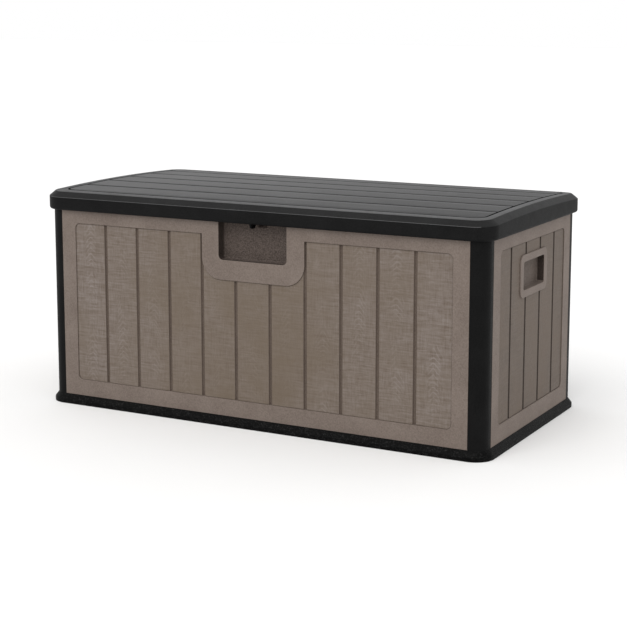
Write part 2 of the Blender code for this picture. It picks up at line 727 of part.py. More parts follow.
def build_strut(side, sign):
    """Tube and rod, modelled along the local Z axis of an empty on the lower pivot."""
    pivot = add_empty(f"strut_pivot_{side}", (sign * STRUT_X, *STRUT_LOW), strut_tilt())
    length = strut_length()

    build_eye(f"strut_base_eye_{side}", 0.0, TUBE_LOW - GAP, pivot)
    tube = (
        (TUBE_LOW, TUBE_RADIUS),
        (TUBE_HIGH, TUBE_RADIUS),
        (TUBE_HIGH, TUBE_BORE),
        (TUBE_LOW + 0.003, TUBE_BORE),
    )
    add_turned(f"strut_tube_{side}", tube, resin(TUBE_BLACK, 0.35), pivot)
    seat = TUBE_HIGH - 0.008
    top = TUBE_HIGH + GAP
    gland = (
        (seat, ROD_BORE),
        (seat, TUBE_BORE - GAP),
        (top, TUBE_BORE - GAP),
        (top, TUBE_RADIUS),
        (top + 0.004, TUBE_RADIUS - 0.0015),
        (top + 0.004, ROD_BORE),
    )
    add_turned(f"strut_gland_{side}", gland, resin(BLACK), pivot, closed=True)

    slide = add_empty(f"strut_slide_{side}", (0.0, 0.0, 0.0), parent=pivot)
    rod = ((ROD_LOW, ROD_RADIUS), (length - ROD_NECK - GAP, ROD_RADIUS))
    add_turned(f"strut_rod_{side}", rod, steel(roughness=0.15), slide)
    low, high = PISTON
    skirt = TUBE_BORE - GAP
    piston = ((low, ROD_BORE), (low, skirt), (high, skirt), (high, ROD_BORE))
    add_turned(f"strut_piston_{side}", piston, steel(), slide, closed=True)
    build_eye(f"strut_rod_eye_{side}", length, length - ROD_NECK, slide)


def build_wall_fixing(side, sign):
    """Plate and stud that carry the strut's lower end on the side wall."""
    wall = BODY_HALF_X - WALL - GAP
    plate_face = wall - PLATE_SKIN
    outline = rounded_rectangle(0.018, 0.025, 0.006, 3, STRUT_LOW)
    bm = prism(outline, "X", sign * plate_face, sign * wall)
    plate = add_object(f"strut_wall_plate_{side}", bm, steel())
    ends = (sign * (wall - CUT_CLEAR), sign * (wall + CUT_CLEAR))
    cut(plate, cylinder("X", STRUT_LOW, STUD_BORE, *ends, 16))
    outer = STRUT_X + STRUT_EYE_HALF + STUD_PLAY
    inner = STRUT_X - STRUT_EYE_HALF - STUD_PLAY
    profile = (
        (wall - 0.0002, STUD_RADIUS),
        (plate_face - GAP, STUD_RADIUS),
        (plate_face - GAP, COLLAR_RADIUS),
        (outer, COLLAR_RADIUS),
        (outer, STUD_RADIUS),
        (inner, STUD_RADIUS),
        (inner, COLLAR_RADIUS),
        (inner - 0.003, COLLAR_RADIUS),
    )
    profile = [(sign * level, radius) for level, radius in profile]
    bm = turned(profile, "X", STRUT_LOW, 16)
    add_object(f"strut_wall_stud_{side}", bm, steel(), smooth=True)


def build_lid_fixing(side, sign, parent):
    """Angle bracket and stud on the lid. The stud stops just short of the rod's eye."""
    top = LINER_LOW - GAP
    web = ANGLE_INNER + ANGLE_SKIN
    outline = [(ANGLE_INNER, top), (ANGLE_INNER, ANGLE_LOW), (web, ANGLE_LOW)]
    outline += [(web, top - ANGLE_SKIN), (ANGLE_OUTER, top - ANGLE_SKIN), (ANGLE_OUTER, top)]
    outline = [(sign * x, z) for x, z in outline]
    middle = STRUT_HIGH[0]
    bm = prism(outline, "Y", middle - ANGLE_HALF, middle + ANGLE_HALF)
    bracket = add_object(f"strut_lid_bracket_{side}", bm, steel())
    ends = (sign * (ANGLE_INNER - CUT_CLEAR), sign * (ANGLE_OUTER + CUT_CLEAR))
    cut(bracket, cylinder("X", STRUT_HIGH, STUD_BORE, *ends, 16))
    place_on_pivot(bracket, parent)
    face = STRUT_X + STRUT_EYE_HALF + STUD_PLAY
    profile = (
        (web + GAP + 0.0018, COLLAR_RADIUS),
        (web + GAP, COLLAR_RADIUS),
        (web + GAP, STUD_RADIUS),
        (ANGLE_INNER - GAP, STUD_RADIUS),
        (ANGLE_INNER - GAP, COLLAR_RADIUS),
        (ANGLE_INNER - 0.003, COLLAR_RADIUS),
        (ANGLE_INNER - 0.003, STUD_RADIUS),
        (face, STUD_RADIUS),
    )
    profile = [(sign * level, radius) for level, radius in profile]
    bm = turned(profile, "X", STRUT_HIGH, 16)
    place_on_pivot(add_object(f"strut_lid_stud_{side}", bm, steel(), smooth=True), parent)


# ---------------------------------------------------------------- assembly
def build_body():
    build_base_tray()
    build_front_panel()
    build_front_grip_cup()
    build_rear_panel()
    for side, sign in (("left", -1.0), ("right", 1.0)):
        build_side_panel(f"{side}_panel", sign)
        build_side_grip(f"side_grip_{side}", sign)
        build_post(f"corner_post_front_{side}", sign, -1.0)
        build_post(f"corner_post_rear_{side}", sign, 1.0)
        build_wall_fixing(side, sign)
    build_padlock_eye()
    for name, x in zip(HINGE_NAMES, HINGE_X):
        build_hinge_bracket(f"hinge_bracket_{name}", x)
        build_hinge_pin(f"hinge_pin_{name}", x)


def build_lid():
    pivot = add_empty("lid_pivot", (0.0, HINGE_Y, HINGE_Z))
    build_lid_shell(pivot)
    build_lid_liner(pivot)
    build_lid_brace("lid_brace_front", -BRACE_Y, pivot)
    build_lid_brace("lid_brace_rear", BRACE_Y, pivot)
    build_padlock_tab(pivot)
    for name, x in zip(HINGE_NAMES, HINGE_X):
        build_hinge_lug(f"hinge_lug_{name}", x, pivot)
    for side, sign in (("left", -1.0), ("right", 1.0)):
        build_lid_fixing(side, sign, pivot)


def build_struts():
    for side, sign in (("left", -1.0), ("right", 1.0)):
        build_strut(side, sign)


def main():
    clear_scene()
    build_body()
    build_lid()
    build_struts()


main()
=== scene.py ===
"""Looks of the deck storage box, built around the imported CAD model. Metres, +Z up, front at -Y."""
import math

import bmesh
import bpy
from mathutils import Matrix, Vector


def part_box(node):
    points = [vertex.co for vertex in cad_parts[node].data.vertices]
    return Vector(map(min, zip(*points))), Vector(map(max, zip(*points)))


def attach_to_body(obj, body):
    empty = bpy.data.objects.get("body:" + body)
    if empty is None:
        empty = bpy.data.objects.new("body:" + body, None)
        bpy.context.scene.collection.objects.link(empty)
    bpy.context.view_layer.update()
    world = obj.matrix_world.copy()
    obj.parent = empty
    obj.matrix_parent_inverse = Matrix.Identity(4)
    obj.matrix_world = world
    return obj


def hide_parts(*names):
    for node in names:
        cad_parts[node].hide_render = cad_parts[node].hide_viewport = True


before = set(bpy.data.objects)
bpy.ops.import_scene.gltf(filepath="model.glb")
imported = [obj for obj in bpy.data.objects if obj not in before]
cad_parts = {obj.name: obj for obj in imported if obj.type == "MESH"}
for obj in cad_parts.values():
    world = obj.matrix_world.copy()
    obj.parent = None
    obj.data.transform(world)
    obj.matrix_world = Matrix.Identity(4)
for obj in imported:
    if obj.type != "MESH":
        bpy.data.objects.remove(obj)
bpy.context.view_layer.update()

# ---------------------------------------------------------------- places read from the CAD model
WALL_LOW, WALL_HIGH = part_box("front_panel")
REAR_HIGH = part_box("rear_panel")[1]
SIDE_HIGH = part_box("right_panel")[1]
SILL_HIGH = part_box("base_tray")[1]
LID_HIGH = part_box("lid_shell")[1]
LINER_LOW, LINER_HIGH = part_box("lid_liner")
CUP_LOW, CUP_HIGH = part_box("front_grip_cup")
GRIP_LOW, GRIP_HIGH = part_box("side_grip_right")
PIN_LOW, PIN_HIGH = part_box("hinge_pin_centre")

BODY_HALF_X = SIDE_HIGH.x
BODY_HALF_Y = -WALL_LOW.y
WALL = 0.010
LAP = 0.005                   # depth of the step where a panel laps behind a post
GAP = 0.0003
SEAM = 0.0008                 # open line between a post and the panel beside it
POST_RADIUS = 0.035
POST_EDGE_X = 0.590           # where a post ends on the front and rear walls
POST_EDGE_Y = 0.2685
LAP_LENGTH = 0.006
WALL_FOOT = WALL_LOW.z
WALL_TOP = WALL_HIGH.z
REAR_TOP = REAR_HIGH.z

SILL_TOP = SILL_HIGH.z
SILL_EDGE = 0.011             # where the sill's slope starts
SILL_RADIUS = 0.051
SEAT_FLOOR = 0.0174           # floor of the channel that holds the walls
POCKET_TOP = 0.0140           # roof of the pockets under the sill
POCKET_GRID = (10, 5)
POCKET_WEB = 0.008            # wall between two pockets
POCKET_DRAFT = 0.0015
FLOOR_GRID = (5, 3)
FLOOR_EDGE = 0.020            # plain strip round the floor's sunk panels
FLOOR_BAND = 0.020            # raised band between two of them
FLOOR_DEPTH = 0.0022

FIELD_HALF_X = 0.547
FIELD_HALF_Y = 0.224
FIELD_LOW = 0.069
FIELD_HIGH = 0.4956
REAR_FIELD_HIGH = 0.455
FIELD_RADIUS = 0.014
FIELD_DEPTH = 0.0024
FIELD_MARGIN = 0.0006         # grooves stop this far inside the field
PLANK = 0.100
GROOVE_DEPTH = 0.0042
BORDER_DEPTH = {"X": 0.00115, "Y": 0.0005}
RIB_HALF = 0.007
RIB_PROUD = 0.0022
RIB_FOOT = SILL_TOP + 0.012

RECESS_HALF_X = 0.099
RECESS_LOW = 0.432
RECESS_RADIUS = 0.012
RECESS_BACK = CUP_HIGH.y - 0.003
RECESS_BACK_ROUND = 0.005
SURROUND_HALF_X = 0.149
SURROUND_LOW = 0.380
SURROUND_RADIUS = 0.055

GRIP_Z = (GRIP_LOW.z + GRIP_HIGH.z) / 2
GRIP_HALF_Y = 0.072
GRIP_HALF_Z = 0.0355
BEZEL_HALF_Y = GRIP_HIGH.y
BEZEL_HALF_Z = (GRIP_HIGH.z - GRIP_LOW.z) / 2
BEZEL_RADIUS = 0.019
BEZEL_ROUND = 0.0013
GRIP_RADIUS = 0.0062
GRIP_DEPTH = 0.020
GRIP_SKIN = 0.0022
GRIP_HOLE_GAP = 0.0025        # from the pocket to the hole that it passes through

LID_HALF_X = LID_HIGH.x
LID_HALF_Y = LID_HIGH.y
LID_RADIUS = 0.054
SKIRT_SKIN = 0.005
SKIRT_TOP = 0.565
SKIRT_LEVEL = 0.540           # below this the skirt follows no crown
SKIRT_STRAIGHT = 0.548
EDGE_ROUND = 0.0022
# Painted highlight: the rolled front and rear edges of the lid take a lighter grey within this band.
EDGE_BAND = 0.022             # width of the rolled edge, for its paint
CHAMFER_INSET = 0.0165
CHAMFER_TOP = 0.578
CROWN = LID_HIGH.z - CHAMFER_TOP
CROWN_REACH = 0.312
LID_FIELD_HALF_X = 0.6055
LID_FIELD_FRONT = -0.279
LID_FIELD_REAR = 0.2975
LID_FIELD_RADIUS = 0.030
LID_PLANK = 0.103
LID_MIDDLE_GROOVE = 0.0265
LID_GROOVES = 5
LID_STEPS = 12                # pieces in each rounded corner of the lid
LINER_RADIUS = 0.052
WELL_GRID = (5, 3)            # sunk panels in the liner
WELL_PITCH_Y = 0.150
WELL_HALF_Y = 0.062
WELL_BAND = 0.020
WELL_MARGIN = 0.065
WELL_DEPTH = 0.0022

HINGE_Y = (PIN_LOW.y + PIN_HIGH.y) / 2
HINGE_Z = (PIN_LOW.z + PIN_HIGH.z) / 2
HINGES = ("left", "centre", "right")
HINGE_X = [sum(corner.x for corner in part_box("hinge_pin_" + name)) / 2 for name in HINGES]
LUG_HALF = 0.043
LUG_TOP = 0.5605
BARREL_RADIUS = 0.007
BRACKET_PLATE = 0.003

# camera, light and floor: metres, degrees, and millimetres for the lens
CAMERA_PLACE = (1.9906, -3.6909, 1.0857)
CAMERA_AZIMUTH = 28.260
CAMERA_ELEVATION = 9.049
CAMERA_LENS = 90.714
CAMERA_SHIFT = -0.10
SUN_TOWARD = (-0.05, 0.64, -0.77)
SUN_ENERGY = 1.7
SUN_ANGLE = 50.0
SUN_COLOUR = (1.0, 0.985, 0.965)
SKY_STRENGTH = 1.0
FLOOR_REACH = 30.0

# material numbers on the walls, the grips and the lid
MARGIN, PLANKS, GROOVES, SHADE = range(4)
BEZEL, POCKET, POCKET_SIDE_SHADE = range(3)
LID_SKIRT, LID_FIELD, LID_HIGHLIGHT, LID_CHAMFER, LID_BORDER, LID_CREASE = range(6)

# stretches of the wood grain: per metre across a plank, per metre along it, and per plank
FIBRE = (270.0, 34.0, 1.0)
SAW_MARK = (24.0, 250.0, 1.0)
WANDER = (24.0, 9.0, 1.0)
DRIFT = (5.0, 6.0, 0.2)
PATCH = (11.0, 14.0, 1.0)
PLANK_SHIFT = 3.71            # how far the pattern moves from one plank to the next
RING_TURNS = 420.0            # radians per metre along a plank
RING_WANDER = 22.0
RING_BOW = 120.0
MOTTLE = 14.0
PEBBLE = 330.0


# ---------------------------------------------------------------- material helpers
def add_node(tree, kind, inputs=(), **settings):
    made = tree.nodes.new("ShaderNode" + kind)
    for key, value in settings.items():
        setattr(made, key, value)
    for key, value in dict(inputs).items():
        if isinstance(value, bpy.types.NodeSocket):
            tree.links.new(value, made.inputs[key])
        else:
            made.inputs[key].default_value = value
    return made


def sums(tree, operation, *values):
    return add_node(tree, "Math", list(enumerate(values)), operation=operation).outputs[0]


def noise(tree, vector, scale, detail=2.0, roughness=0.5):
    values = {"Vector": vector, "Scale": scale, "Detail": detail, "Roughness": roughness}
    return add_node(tree, "TexNoise", values).outputs["Fac"]


def stretched(tree, parts, scales):
    """Noise coordinates from three sockets, each stretched by its own scale."""
    scaled = [sums(tree, "MULTIPLY", part, scale) for part, scale in zip(parts, scales)]
    return add_node(tree, "CombineXYZ", list(enumerate(scaled))).outputs[0]


def span(tree, value, low, high, start=0.0, stop=1.0):
    values = {"Value": value, "From Min": low, "From Max": high, "To Min": start, "To Max": stop}
    return add_node(tree, "MapRange", values).outputs[0]


def blend_colours(tree, factor, a, b):
    made = add_node(tree, "Mix", data_type="RGBA")
    factor_in = made.inputs[0]
    if isinstance(factor, bpy.types.NodeSocket):
        tree.links.new(factor, factor_in)
    else:
        factor_in.default_value = factor
    for socket, value in ((made.inputs[6], a), (made.inputs[7], b)):
        if isinstance(value, bpy.types.NodeSocket):
            tree.links.new(value, socket)
        else:
            socket.default_value = (*value, 1.0)
    return made.outputs[2]


def start_material(name, **uniform):
    material = bpy.data.materials.new(name)
    material.use_nodes = True
    tree = material.node_tree
    shader = tree.nodes["Principled BSDF"]
    for key, value in uniform.items():
        shader.inputs[key.replace("_", " ")].default_value = value
    position = add_node(tree, "TexCoord").outputs["Object"]
    return material, tree, shader, position


def set_bump(tree, shader, height, distance, strength=1.0):
    bump = add_node(tree, "Bump", {"Height": height, "Distance": distance, "Strength": strength})
    tree.links.new(bump.outputs[0], shader.inputs["Normal"])


def set_colour(tree, shader, colour):
    tree.links.new(colour, shader.inputs["Base Color"])


def grained_resin(name, dark, light, roughness, specular, grain, depth):
    """Moulded resin with a fine sand grain and a soft drift of tone."""
    material, tree, shader, position = start_material(name, Specular_IOR_Level=specular)
    drift = noise(tree, position, MOTTLE, 3.0)
    fine = noise(tree, position, grain, 2.0, 0.6)
    tone = span(tree, sums(tree, "MULTIPLY_ADD", fine, 2.0, drift), 1.05, 1.95)
    set_colour(tree, shader, blend_colours(tree, tone, dark, light))
    rough = span(tree, noise(tree, position, 60.0, 2.0), 0.3, 0.7, roughness - 0.02, roughness + 0.02)
    tree.links.new(rough, shader.inputs["Roughness"])
    set_bump(tree, shader, fine, depth)
    return material


def ring_pattern(tree, centred, along, shift, wander):
    """Arched rings round the heart of a plank, where the grain wanders enough to show them."""
    aside = sums(tree, "ABSOLUTE", centred)
    bow = sums(tree, "MULTIPLY", sums(tree, "POWER", aside, 1.5), RING_BOW)
    turns = sums(tree, "MULTIPLY", along, RING_TURNS)
    phase = sums(tree, "ADD", turns, sums(tree, "MULTIPLY", wander, RING_WANDER))
    phase = sums(tree, "ADD", phase, sums(tree, "ADD", bow, sums(tree, "MULTIPLY", shift, 5.0)))
    ring = sums(tree, "POWER", span(tree, sums(tree, "SINE", phase), -1.0, 1.0), 5.0)
    heart = sums(tree, "MULTIPLY", span(tree, aside, 0.04, 0.26, 1.0, 0.0), span(tree, wander, 0.45, 0.62))
    return sums(tree, "MULTIPLY", ring, heart)


def planked_resin(name, across, along, pitch, offset, colours, roughness, specular, depth, saw=1.0):
    """Resin with a moulded wood grain: fibres along each plank, saw marks across it and arched rings.

    Across and along are axis numbers, offset is in planks, and saw is the strength of the saw marks.
    """
    dark, light, warm = colours
    material, tree, shader, position = start_material(name, Specular_IOR_Level=specular)
    split = add_node(tree, "SeparateXYZ", {0: position})
    u = split.outputs[across]
    v = split.outputs[along]
    row = sums(tree, "ADD", sums(tree, "DIVIDE", u, pitch), offset)
    plank = sums(tree, "FLOOR", row)
    centred = sums(tree, "SUBTRACT", sums(tree, "SUBTRACT", row, plank), 0.5)
    shift = sums(tree, "MULTIPLY", plank, PLANK_SHIFT)

    def layer(stretch, detail=3.0, roughened=0.5):
        return noise(tree, stretched(tree, (u, v, shift), stretch), 1.0, detail, roughened)

    fibre = layer(FIBRE, 3.0, 0.6)
    marks = layer(SAW_MARK, 3.0, 0.6)
    drift = layer(DRIFT)
    ring = ring_pattern(tree, centred, v, shift, layer(WANDER, 2.0))

    height = sums(tree, "MULTIPLY", fibre, 0.55)
    height = sums(tree, "MULTIPLY_ADD", marks, 0.55 * saw, height)
    set_bump(tree, shader, sums(tree, "MULTIPLY_ADD", ring, 0.25, height), depth)

    lines = sums(tree, "ADD", sums(tree, "MULTIPLY", fibre, 0.5), sums(tree, "MULTIPLY", marks, 0.7 * saw))
    lines = sums(tree, "MULTIPLY_ADD", ring, 0.24, lines)
    tone = span(tree, sums(tree, "MULTIPLY_ADD", drift, 0.10, lines), 0.45, 0.85)
    # Painted shade: the planks turn darker and warmer towards the middle of each wall and of the lid (u near
    # 0), added to random warm patches.
    middle = span(tree, sums(tree, "ABSOLUTE", u), 0.08, 0.50, 0.45, 0.0)
    warmth = span(tree, sums(tree, "MULTIPLY_ADD", drift, 1.6, layer(PATCH)), 1.05, 1.60, 0.0, 0.40)
    warmth = sums(tree, "ADD", warmth, middle)
    set_colour(tree, shader, blend_colours(tree, warmth, blend_colours(tree, tone, dark, light), warm))
    rough = span(tree, lines, 0.2, 0.9, roughness - 0.06, roughness + 0.06)
    tree.links.new(rough, shader.inputs["Roughness"])
    return material


def speckled_resin(name, dark, light, roughness, specular=0.4, low=0.36, high=0.64):
    """Coarse pebbled resin; low and high are the grain heights where the light colour starts and is full."""
    material, tree, shader, position = start_material(name, Specular_IOR_Level=specular)
    pebble = noise(tree, position, PEBBLE, 3.0, 0.7)
    set_colour(tree, shader, blend_colours(tree, span(tree, pebble, low, high), dark, light))
    rough = span(tree, pebble, 0.3, 0.7, roughness + 0.04, roughness - 0.04)
    tree.links.new(rough, shader.inputs["Roughness"])
    set_bump(tree, shader, pebble, 0.0006)
    return material


def metal(name, dark, light, roughness, brush=(900.0, 40.0, 40.0), depth=0.00004):
    """Steel with fine brush marks and a faint drift of tone."""
    material, tree, shader, position = start_material(name, Metallic=1.0)
    split = add_node(tree, "SeparateXYZ", {0: position})
    line = noise(tree, stretched(tree, split.outputs[:3], brush), 1.0, 3.0, 0.6)
    drift = noise(tree, position, 45.0, 3.0)
    set_colour(tree, shader, blend_colours(tree, span(tree, drift, 0.3, 0.7), dark, light))
    rough = span(tree, line, 0.3, 0.7, roughness - 0.06, roughness + 0.08)
    tree.links.new(rough, shader.inputs["Roughness"])
    set_bump(tree, shader, line, depth)
    return material


def grey(level, blue=0.0):
    return (level, level, level + blue)


# ---------------------------------------------------------------- materials
BROWN = ((0.107, 0.081, 0.064), (0.190, 0.161, 0.145), (0.118, 0.090, 0.065))
# Painted shade: the side walls' planks take a darker copy of the front browns.
SIDE_BROWN = ((0.080, 0.066, 0.056), (0.158, 0.130, 0.112), (0.126, 0.097, 0.076))
# Painted light: the lid's top, planks and border, takes a much lighter grey than the skirt, standing in for
# the sheen on the top.
LID_DARK = grey(0.032, 0.0007)
LID_LIGHT = grey(0.084, 0.0020)
LID_TONES = (LID_DARK, LID_LIGHT, grey(0.054, 0.0012))
LID_OFFSET = 0.5 - (LID_MIDDLE_GROOVE - LID_PLANK / 2) / LID_PLANK

# name: dark, light, roughness, specular, grain per metre, depth of the grain
GRAINED = {
    "brown_margin": ((0.118, 0.092, 0.078), (0.168, 0.136, 0.117), 0.62, 0.2, 330.0, 0.0004),
    # painted light: the side walls' margin takes a lighter copy of brown_margin
    "side_margin": ((0.136, 0.107, 0.091), (0.194, 0.158, 0.136), 0.62, 0.2, 330.0, 0.0004),
    # painted shade: the grip pocket's back and floor, darker than the bezel round it
    "pocket_shade": ((0.084, 0.066, 0.056), (0.136, 0.110, 0.095), 0.70, 0.2, 330.0, 0.0005),
    # painted shade: a dark brown for the sides of the finger recess, the grip pockets' sides and the padlock
    # eye
    "painted_shade": ((0.026, 0.020, 0.017), (0.044, 0.034, 0.029), 0.80, 0.05, 330.0, 0.0003),
    # painted shade: darker browns for the grooves between the planks, on the front and rear walls and on the
    # side walls
    "groove_shade": ((0.084, 0.064, 0.052), (0.112, 0.087, 0.071), 0.75, 0.1, 330.0, 0.0003),
    "side_groove_shade": ((0.042, 0.034, 0.029), (0.064, 0.052, 0.045), 0.75, 0.1, 330.0, 0.0003),
    "bezel_grain": ((0.138, 0.109, 0.093), (0.184, 0.150, 0.130), 0.60, 0.2, 330.0, 0.0004),
    "black_grain": (grey(0.0020, 0.0001), grey(0.0060, 0.0001), 0.50, 0.07, 380.0, 0.0005),
    # painted shade and light: the lid's skirt, border, chamfer and creases take darker and lighter copies of
    # one black
    "lid_shaded_skirt": (grey(0.0042, 0.0001), grey(0.0100, 0.0002), 0.50, 0.05, 400.0, 0.0002),
    "lid_border": (LID_DARK, LID_LIGHT, 0.46, 0.036, 400.0, 0.0002),
    "lid_lit_chamfer": (grey(0.0092, 0.0002), grey(0.0165, 0.0003), 0.46, 0.07, 400.0, 0.0002),
    # painted highlight: a lighter grey on the lid's rolled front and rear edges
    "lid_edge": (grey(0.050, 0.001), grey(0.076, 0.002), 0.40, 0.15, 400.0, 0.0001),
    "lid_crease_shade": (grey(0.0030), grey(0.0070), 0.75, 0.02, 400.0, 0.0001),
    "strut_paint": (grey(0.0060, 0.0005), grey(0.0100, 0.0005), 0.32, 0.4, 700.0, 0.00005),
    "strut_nylon": (grey(0.0080, 0.0005), grey(0.0150, 0.0005), 0.48, 0.3, 1600.0, 0.00008),
}
GRAIN = {name: grained_resin(name, *values) for name, values in GRAINED.items()}

brown_planks = planked_resin("brown_planks", 0, 2, PLANK, 0.5, BROWN, 0.62, 0.2, 0.0014)
side_planks = planked_resin("side_planks", 1, 2, PLANK, 0.5, SIDE_BROWN, 0.62, 0.2, 0.0014)
lid_planks = planked_resin("lid_planks", 1, 0, LID_PLANK, LID_OFFSET, LID_TONES, 0.46, 0.043, 0.0006, 0.25)
recess_grain = speckled_resin("recess_grain", (0.026, 0.018, 0.014), (0.092, 0.069, 0.058), 0.8)
# Painted glints: sparse light specks on the near-black sill stand in for light catching its grain; the
# pebbled bump is real.
sill_grain_and_glints = speckled_resin("sill_grain_and_glints", grey(0.0010), grey(0.036), 0.5, 0.05, 0.54, 0.74)
zinc = metal("zinc", (0.42, 0.43, 0.45), (0.60, 0.61, 0.62), 0.34)
polished = metal("polished_rod", (0.60, 0.61, 0.63), (0.70, 0.71, 0.72), 0.12, (60.0, 60.0, 1400.0), 0.00001)


# ---------------------------------------------------------------- mesh helpers
def arc(centre, radius, start, stop, steps):
    points = []
    for i in range(steps + 1):
        angle = math.radians(start + (stop - start) * i / steps)
        points.append((centre[0] + radius * math.cos(angle), centre[1] + radius * math.sin(angle)))
    return points


def rounded_rectangle(half_a, half_b, radius, steps=6, centre=(0.0, 0.0), rows=()):
    """Anticlockwise outline. Rows are extra points on both straight sides, as distances from the origin."""
    a = half_a - radius
    b = half_b - radius
    right = [(centre[0] + x, centre[1] + y) for x, y in arc((a, -b), radius, -90.0, 0.0, steps)]
    right += [(centre[0] + half_a, row) for row in rows]
    right += [(centre[0] + x, centre[1] + y) for x, y in arc((a, b), radius, 0.0, 90.0, steps)]
    return right + [(2 * centre[0] - x, y) for x, y in reversed(right)]


def rounded_path(corners, steps=4):
    """Round the corners of an open path of (a, b, radius) points."""
    path = [Vector(corners[0][:2])]
    for before, corner, after in zip(corners, corners[1:], corners[2:]):
        here = Vector(corner[:2])
        back = (Vector(before[:2]) - here).normalized()
        ahead = (Vector(after[:2]) - here).normalized()
        if corner[2] <= 0.0:
            path.append(here)
            continue
        half_turn = back.angle(ahead) / 2
        reach = corner[2] / math.tan(half_turn)
        middle = here + (back + ahead).normalized() * corner[2] / math.sin(half_turn)
        start = here + back * reach - middle
        stop = here + ahead * reach - middle
        for i in range(steps + 1):
            mixed = start.lerp(stop, i / steps)
            path.append(middle + mixed.normalized() * corner[2])
    path.append(Vector(corners[-1][:2]))
    return [tuple(point) for point in path]


def place(axis, level, a, b):
    if axis == "X":
        return Vector((level, a, b))
    if axis == "Y":
        return Vector((a, level, b))
    return Vector((a, b, level))


def add_rings(bm, rings, closed=False, cap=True):
    rows = [[bm.verts.new(point) for point in ring] for ring in rings]
    pairs = list(zip(rows, rows[1:]))
    if closed:
        pairs.append((rows[-1], rows[0]))
    for low, high in pairs:
        for i in range(len(low)):
            j = (i + 1) % len(low)
            bm.faces.new((low[i], low[j], high[j], high[i]))
    if cap and not closed:
        bm.faces.new(rows[0])
        bm.faces.new(rows[-1])
    return rows


def tapered_rings(half_a, half_b, radius, steps, centre, levels):
    """A rounded rectangle at each (inset, level), for add_rings."""
    rings = []
    for inset, level in levels:
        outline = rounded_rectangle(half_a - inset, half_b - inset, radius, steps, centre)
        rings.append([Vector((a, b, level)) for a, b in outline])
    return rings


def grid(counts, step_x, step_y):
    """Centres of a grid of cells about the origin."""
    columns, rows = counts
    return [
        ((i - (columns - 1) / 2) * step_x, (j - (rows - 1) / 2) * step_y)
        for i in range(columns) for j in range(rows)
    ]


def prism(outline, axis, low, high, bm=None):
    bm = bm or bmesh.new()
    add_rings(bm, [[place(axis, level, a, b) for a, b in outline] for level in (low, high)])
    return bm


def box(low, high, bm=None):
    outline = ((low[0], low[1]), (high[0], low[1]), (high[0], high[1]), (low[0], high[1]))
    return prism(outline, "Z", low[2], high[2], bm)


def turned(profile, axis, centre, segments=24, closed=False, bm=None):
    bm = bm or bmesh.new()
    rings = []
    for level, radius in profile:
        ring = arc(centre, radius, 0.0, 360.0, segments)[:-1]
        rings.append([place(axis, level, a, b) for a, b in ring])
    add_rings(bm, rings, closed)
    return bm


def make_piece(name, bm, *materials):
    bmesh.ops.recalc_face_normals(bm, faces=bm.faces[:])
    mesh = bpy.data.meshes.new(name)
    bm.to_mesh(mesh)
    bm.free()
    piece = bpy.data.objects.new(name, mesh)
    bpy.context.scene.collection.objects.link(piece)
    for material in materials:
        mesh.materials.append(material)
    return piece


def carve(piece, bm, operation="DIFFERENCE"):
    """Cut a bmesh out of a piece, or add it, and keep the result as the piece's own mesh."""
    tool = make_piece(piece.name + "_tool", bm)
    modifier = piece.modifiers.new("carve", "BOOLEAN")
    modifier.operation = operation
    modifier.solver = "EXACT"
    modifier.object = tool
    graph = bpy.context.evaluated_depsgraph_get()
    mesh = bpy.data.meshes.new_from_object(piece.evaluated_get(graph))
    piece.modifiers.clear()
    old = piece.data
    piece.data = mesh
    bpy.data.meshes.remove(old)
    bpy.data.objects.remove(tool, do_unlink=True)


def smooth(piece, angle=35.0):
    piece.data.shade_smooth()
    piece.data.set_sharp_from_angle(angle=math.radians(angle))


def soften(piece, width, segments=2, angle=32.0):
    """Round every edge sharper than an angle."""
    bevel = piece.modifiers.new("soften", "BEVEL")
    bevel.width = width
    bevel.segments = segments
    bevel.limit_method = "ANGLE"
    bevel.angle_limit = math.radians(angle)
    bevel.harden_normals = True
    bevel.use_clamp_overlap = True


def attach(piece, body, slot, *nodes):
    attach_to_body(piece, body)
    if nodes:
        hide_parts(*nodes)


def paint_node(name, material, width=0.0004):
    """Give a CAD node a finished material and rounded edges."""
    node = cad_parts[name]
    for slot in node.material_slots:
        slot.link = "OBJECT"
        slot.material = material
    weld = node.modifiers.new("weld", "WELD")
    weld.merge_threshold = 0.00001
    if width:
        soften(node, width)


# ---------------------------------------------------------------- walls
def panel_outline(edge, half_depth):
    """Plan of a wall that faces -Y, with a stepped edge that laps behind the post at each end."""
    outer = -half_depth
    step = outer + LAP + GAP
    inner = outer + WALL
    face = edge - SEAM / 2
    right = ((face, outer), (face, step), (edge + LAP_LENGTH, step), (edge + LAP_LENGTH, inner))
    return list(right) + [(-x, y) for x, y in reversed(right)]


def turn_outline(outline, quarter_turns):
    for _ in range(quarter_turns):
        outline = [(-y, x) for x, y in outline]
    return outline


def surround_field():
    """The front wall's planked field, cut in under the smooth surround of the finger recess."""
    r = FIELD_RADIUS
    x = FIELD_HALF_X - r
    u = SURROUND_HALF_X - SURROUND_RADIUS
    right = arc((x, FIELD_LOW + r), r, -90.0, 0.0, 8)
    right += arc((x, FIELD_HIGH - r), r, 0.0, 90.0, 8)
    right.append((SURROUND_HALF_X, FIELD_HIGH))
    right += arc((u, SURROUND_LOW + SURROUND_RADIUS), SURROUND_RADIUS, 0.0, -90.0, 14)
    return right + [(-a, b) for a, b in reversed(right)]


def plain_field(half, high):
    return rounded_rectangle(half, (high - FIELD_LOW) / 2, FIELD_RADIUS, 8, (0.0, (FIELD_LOW + high) / 2))


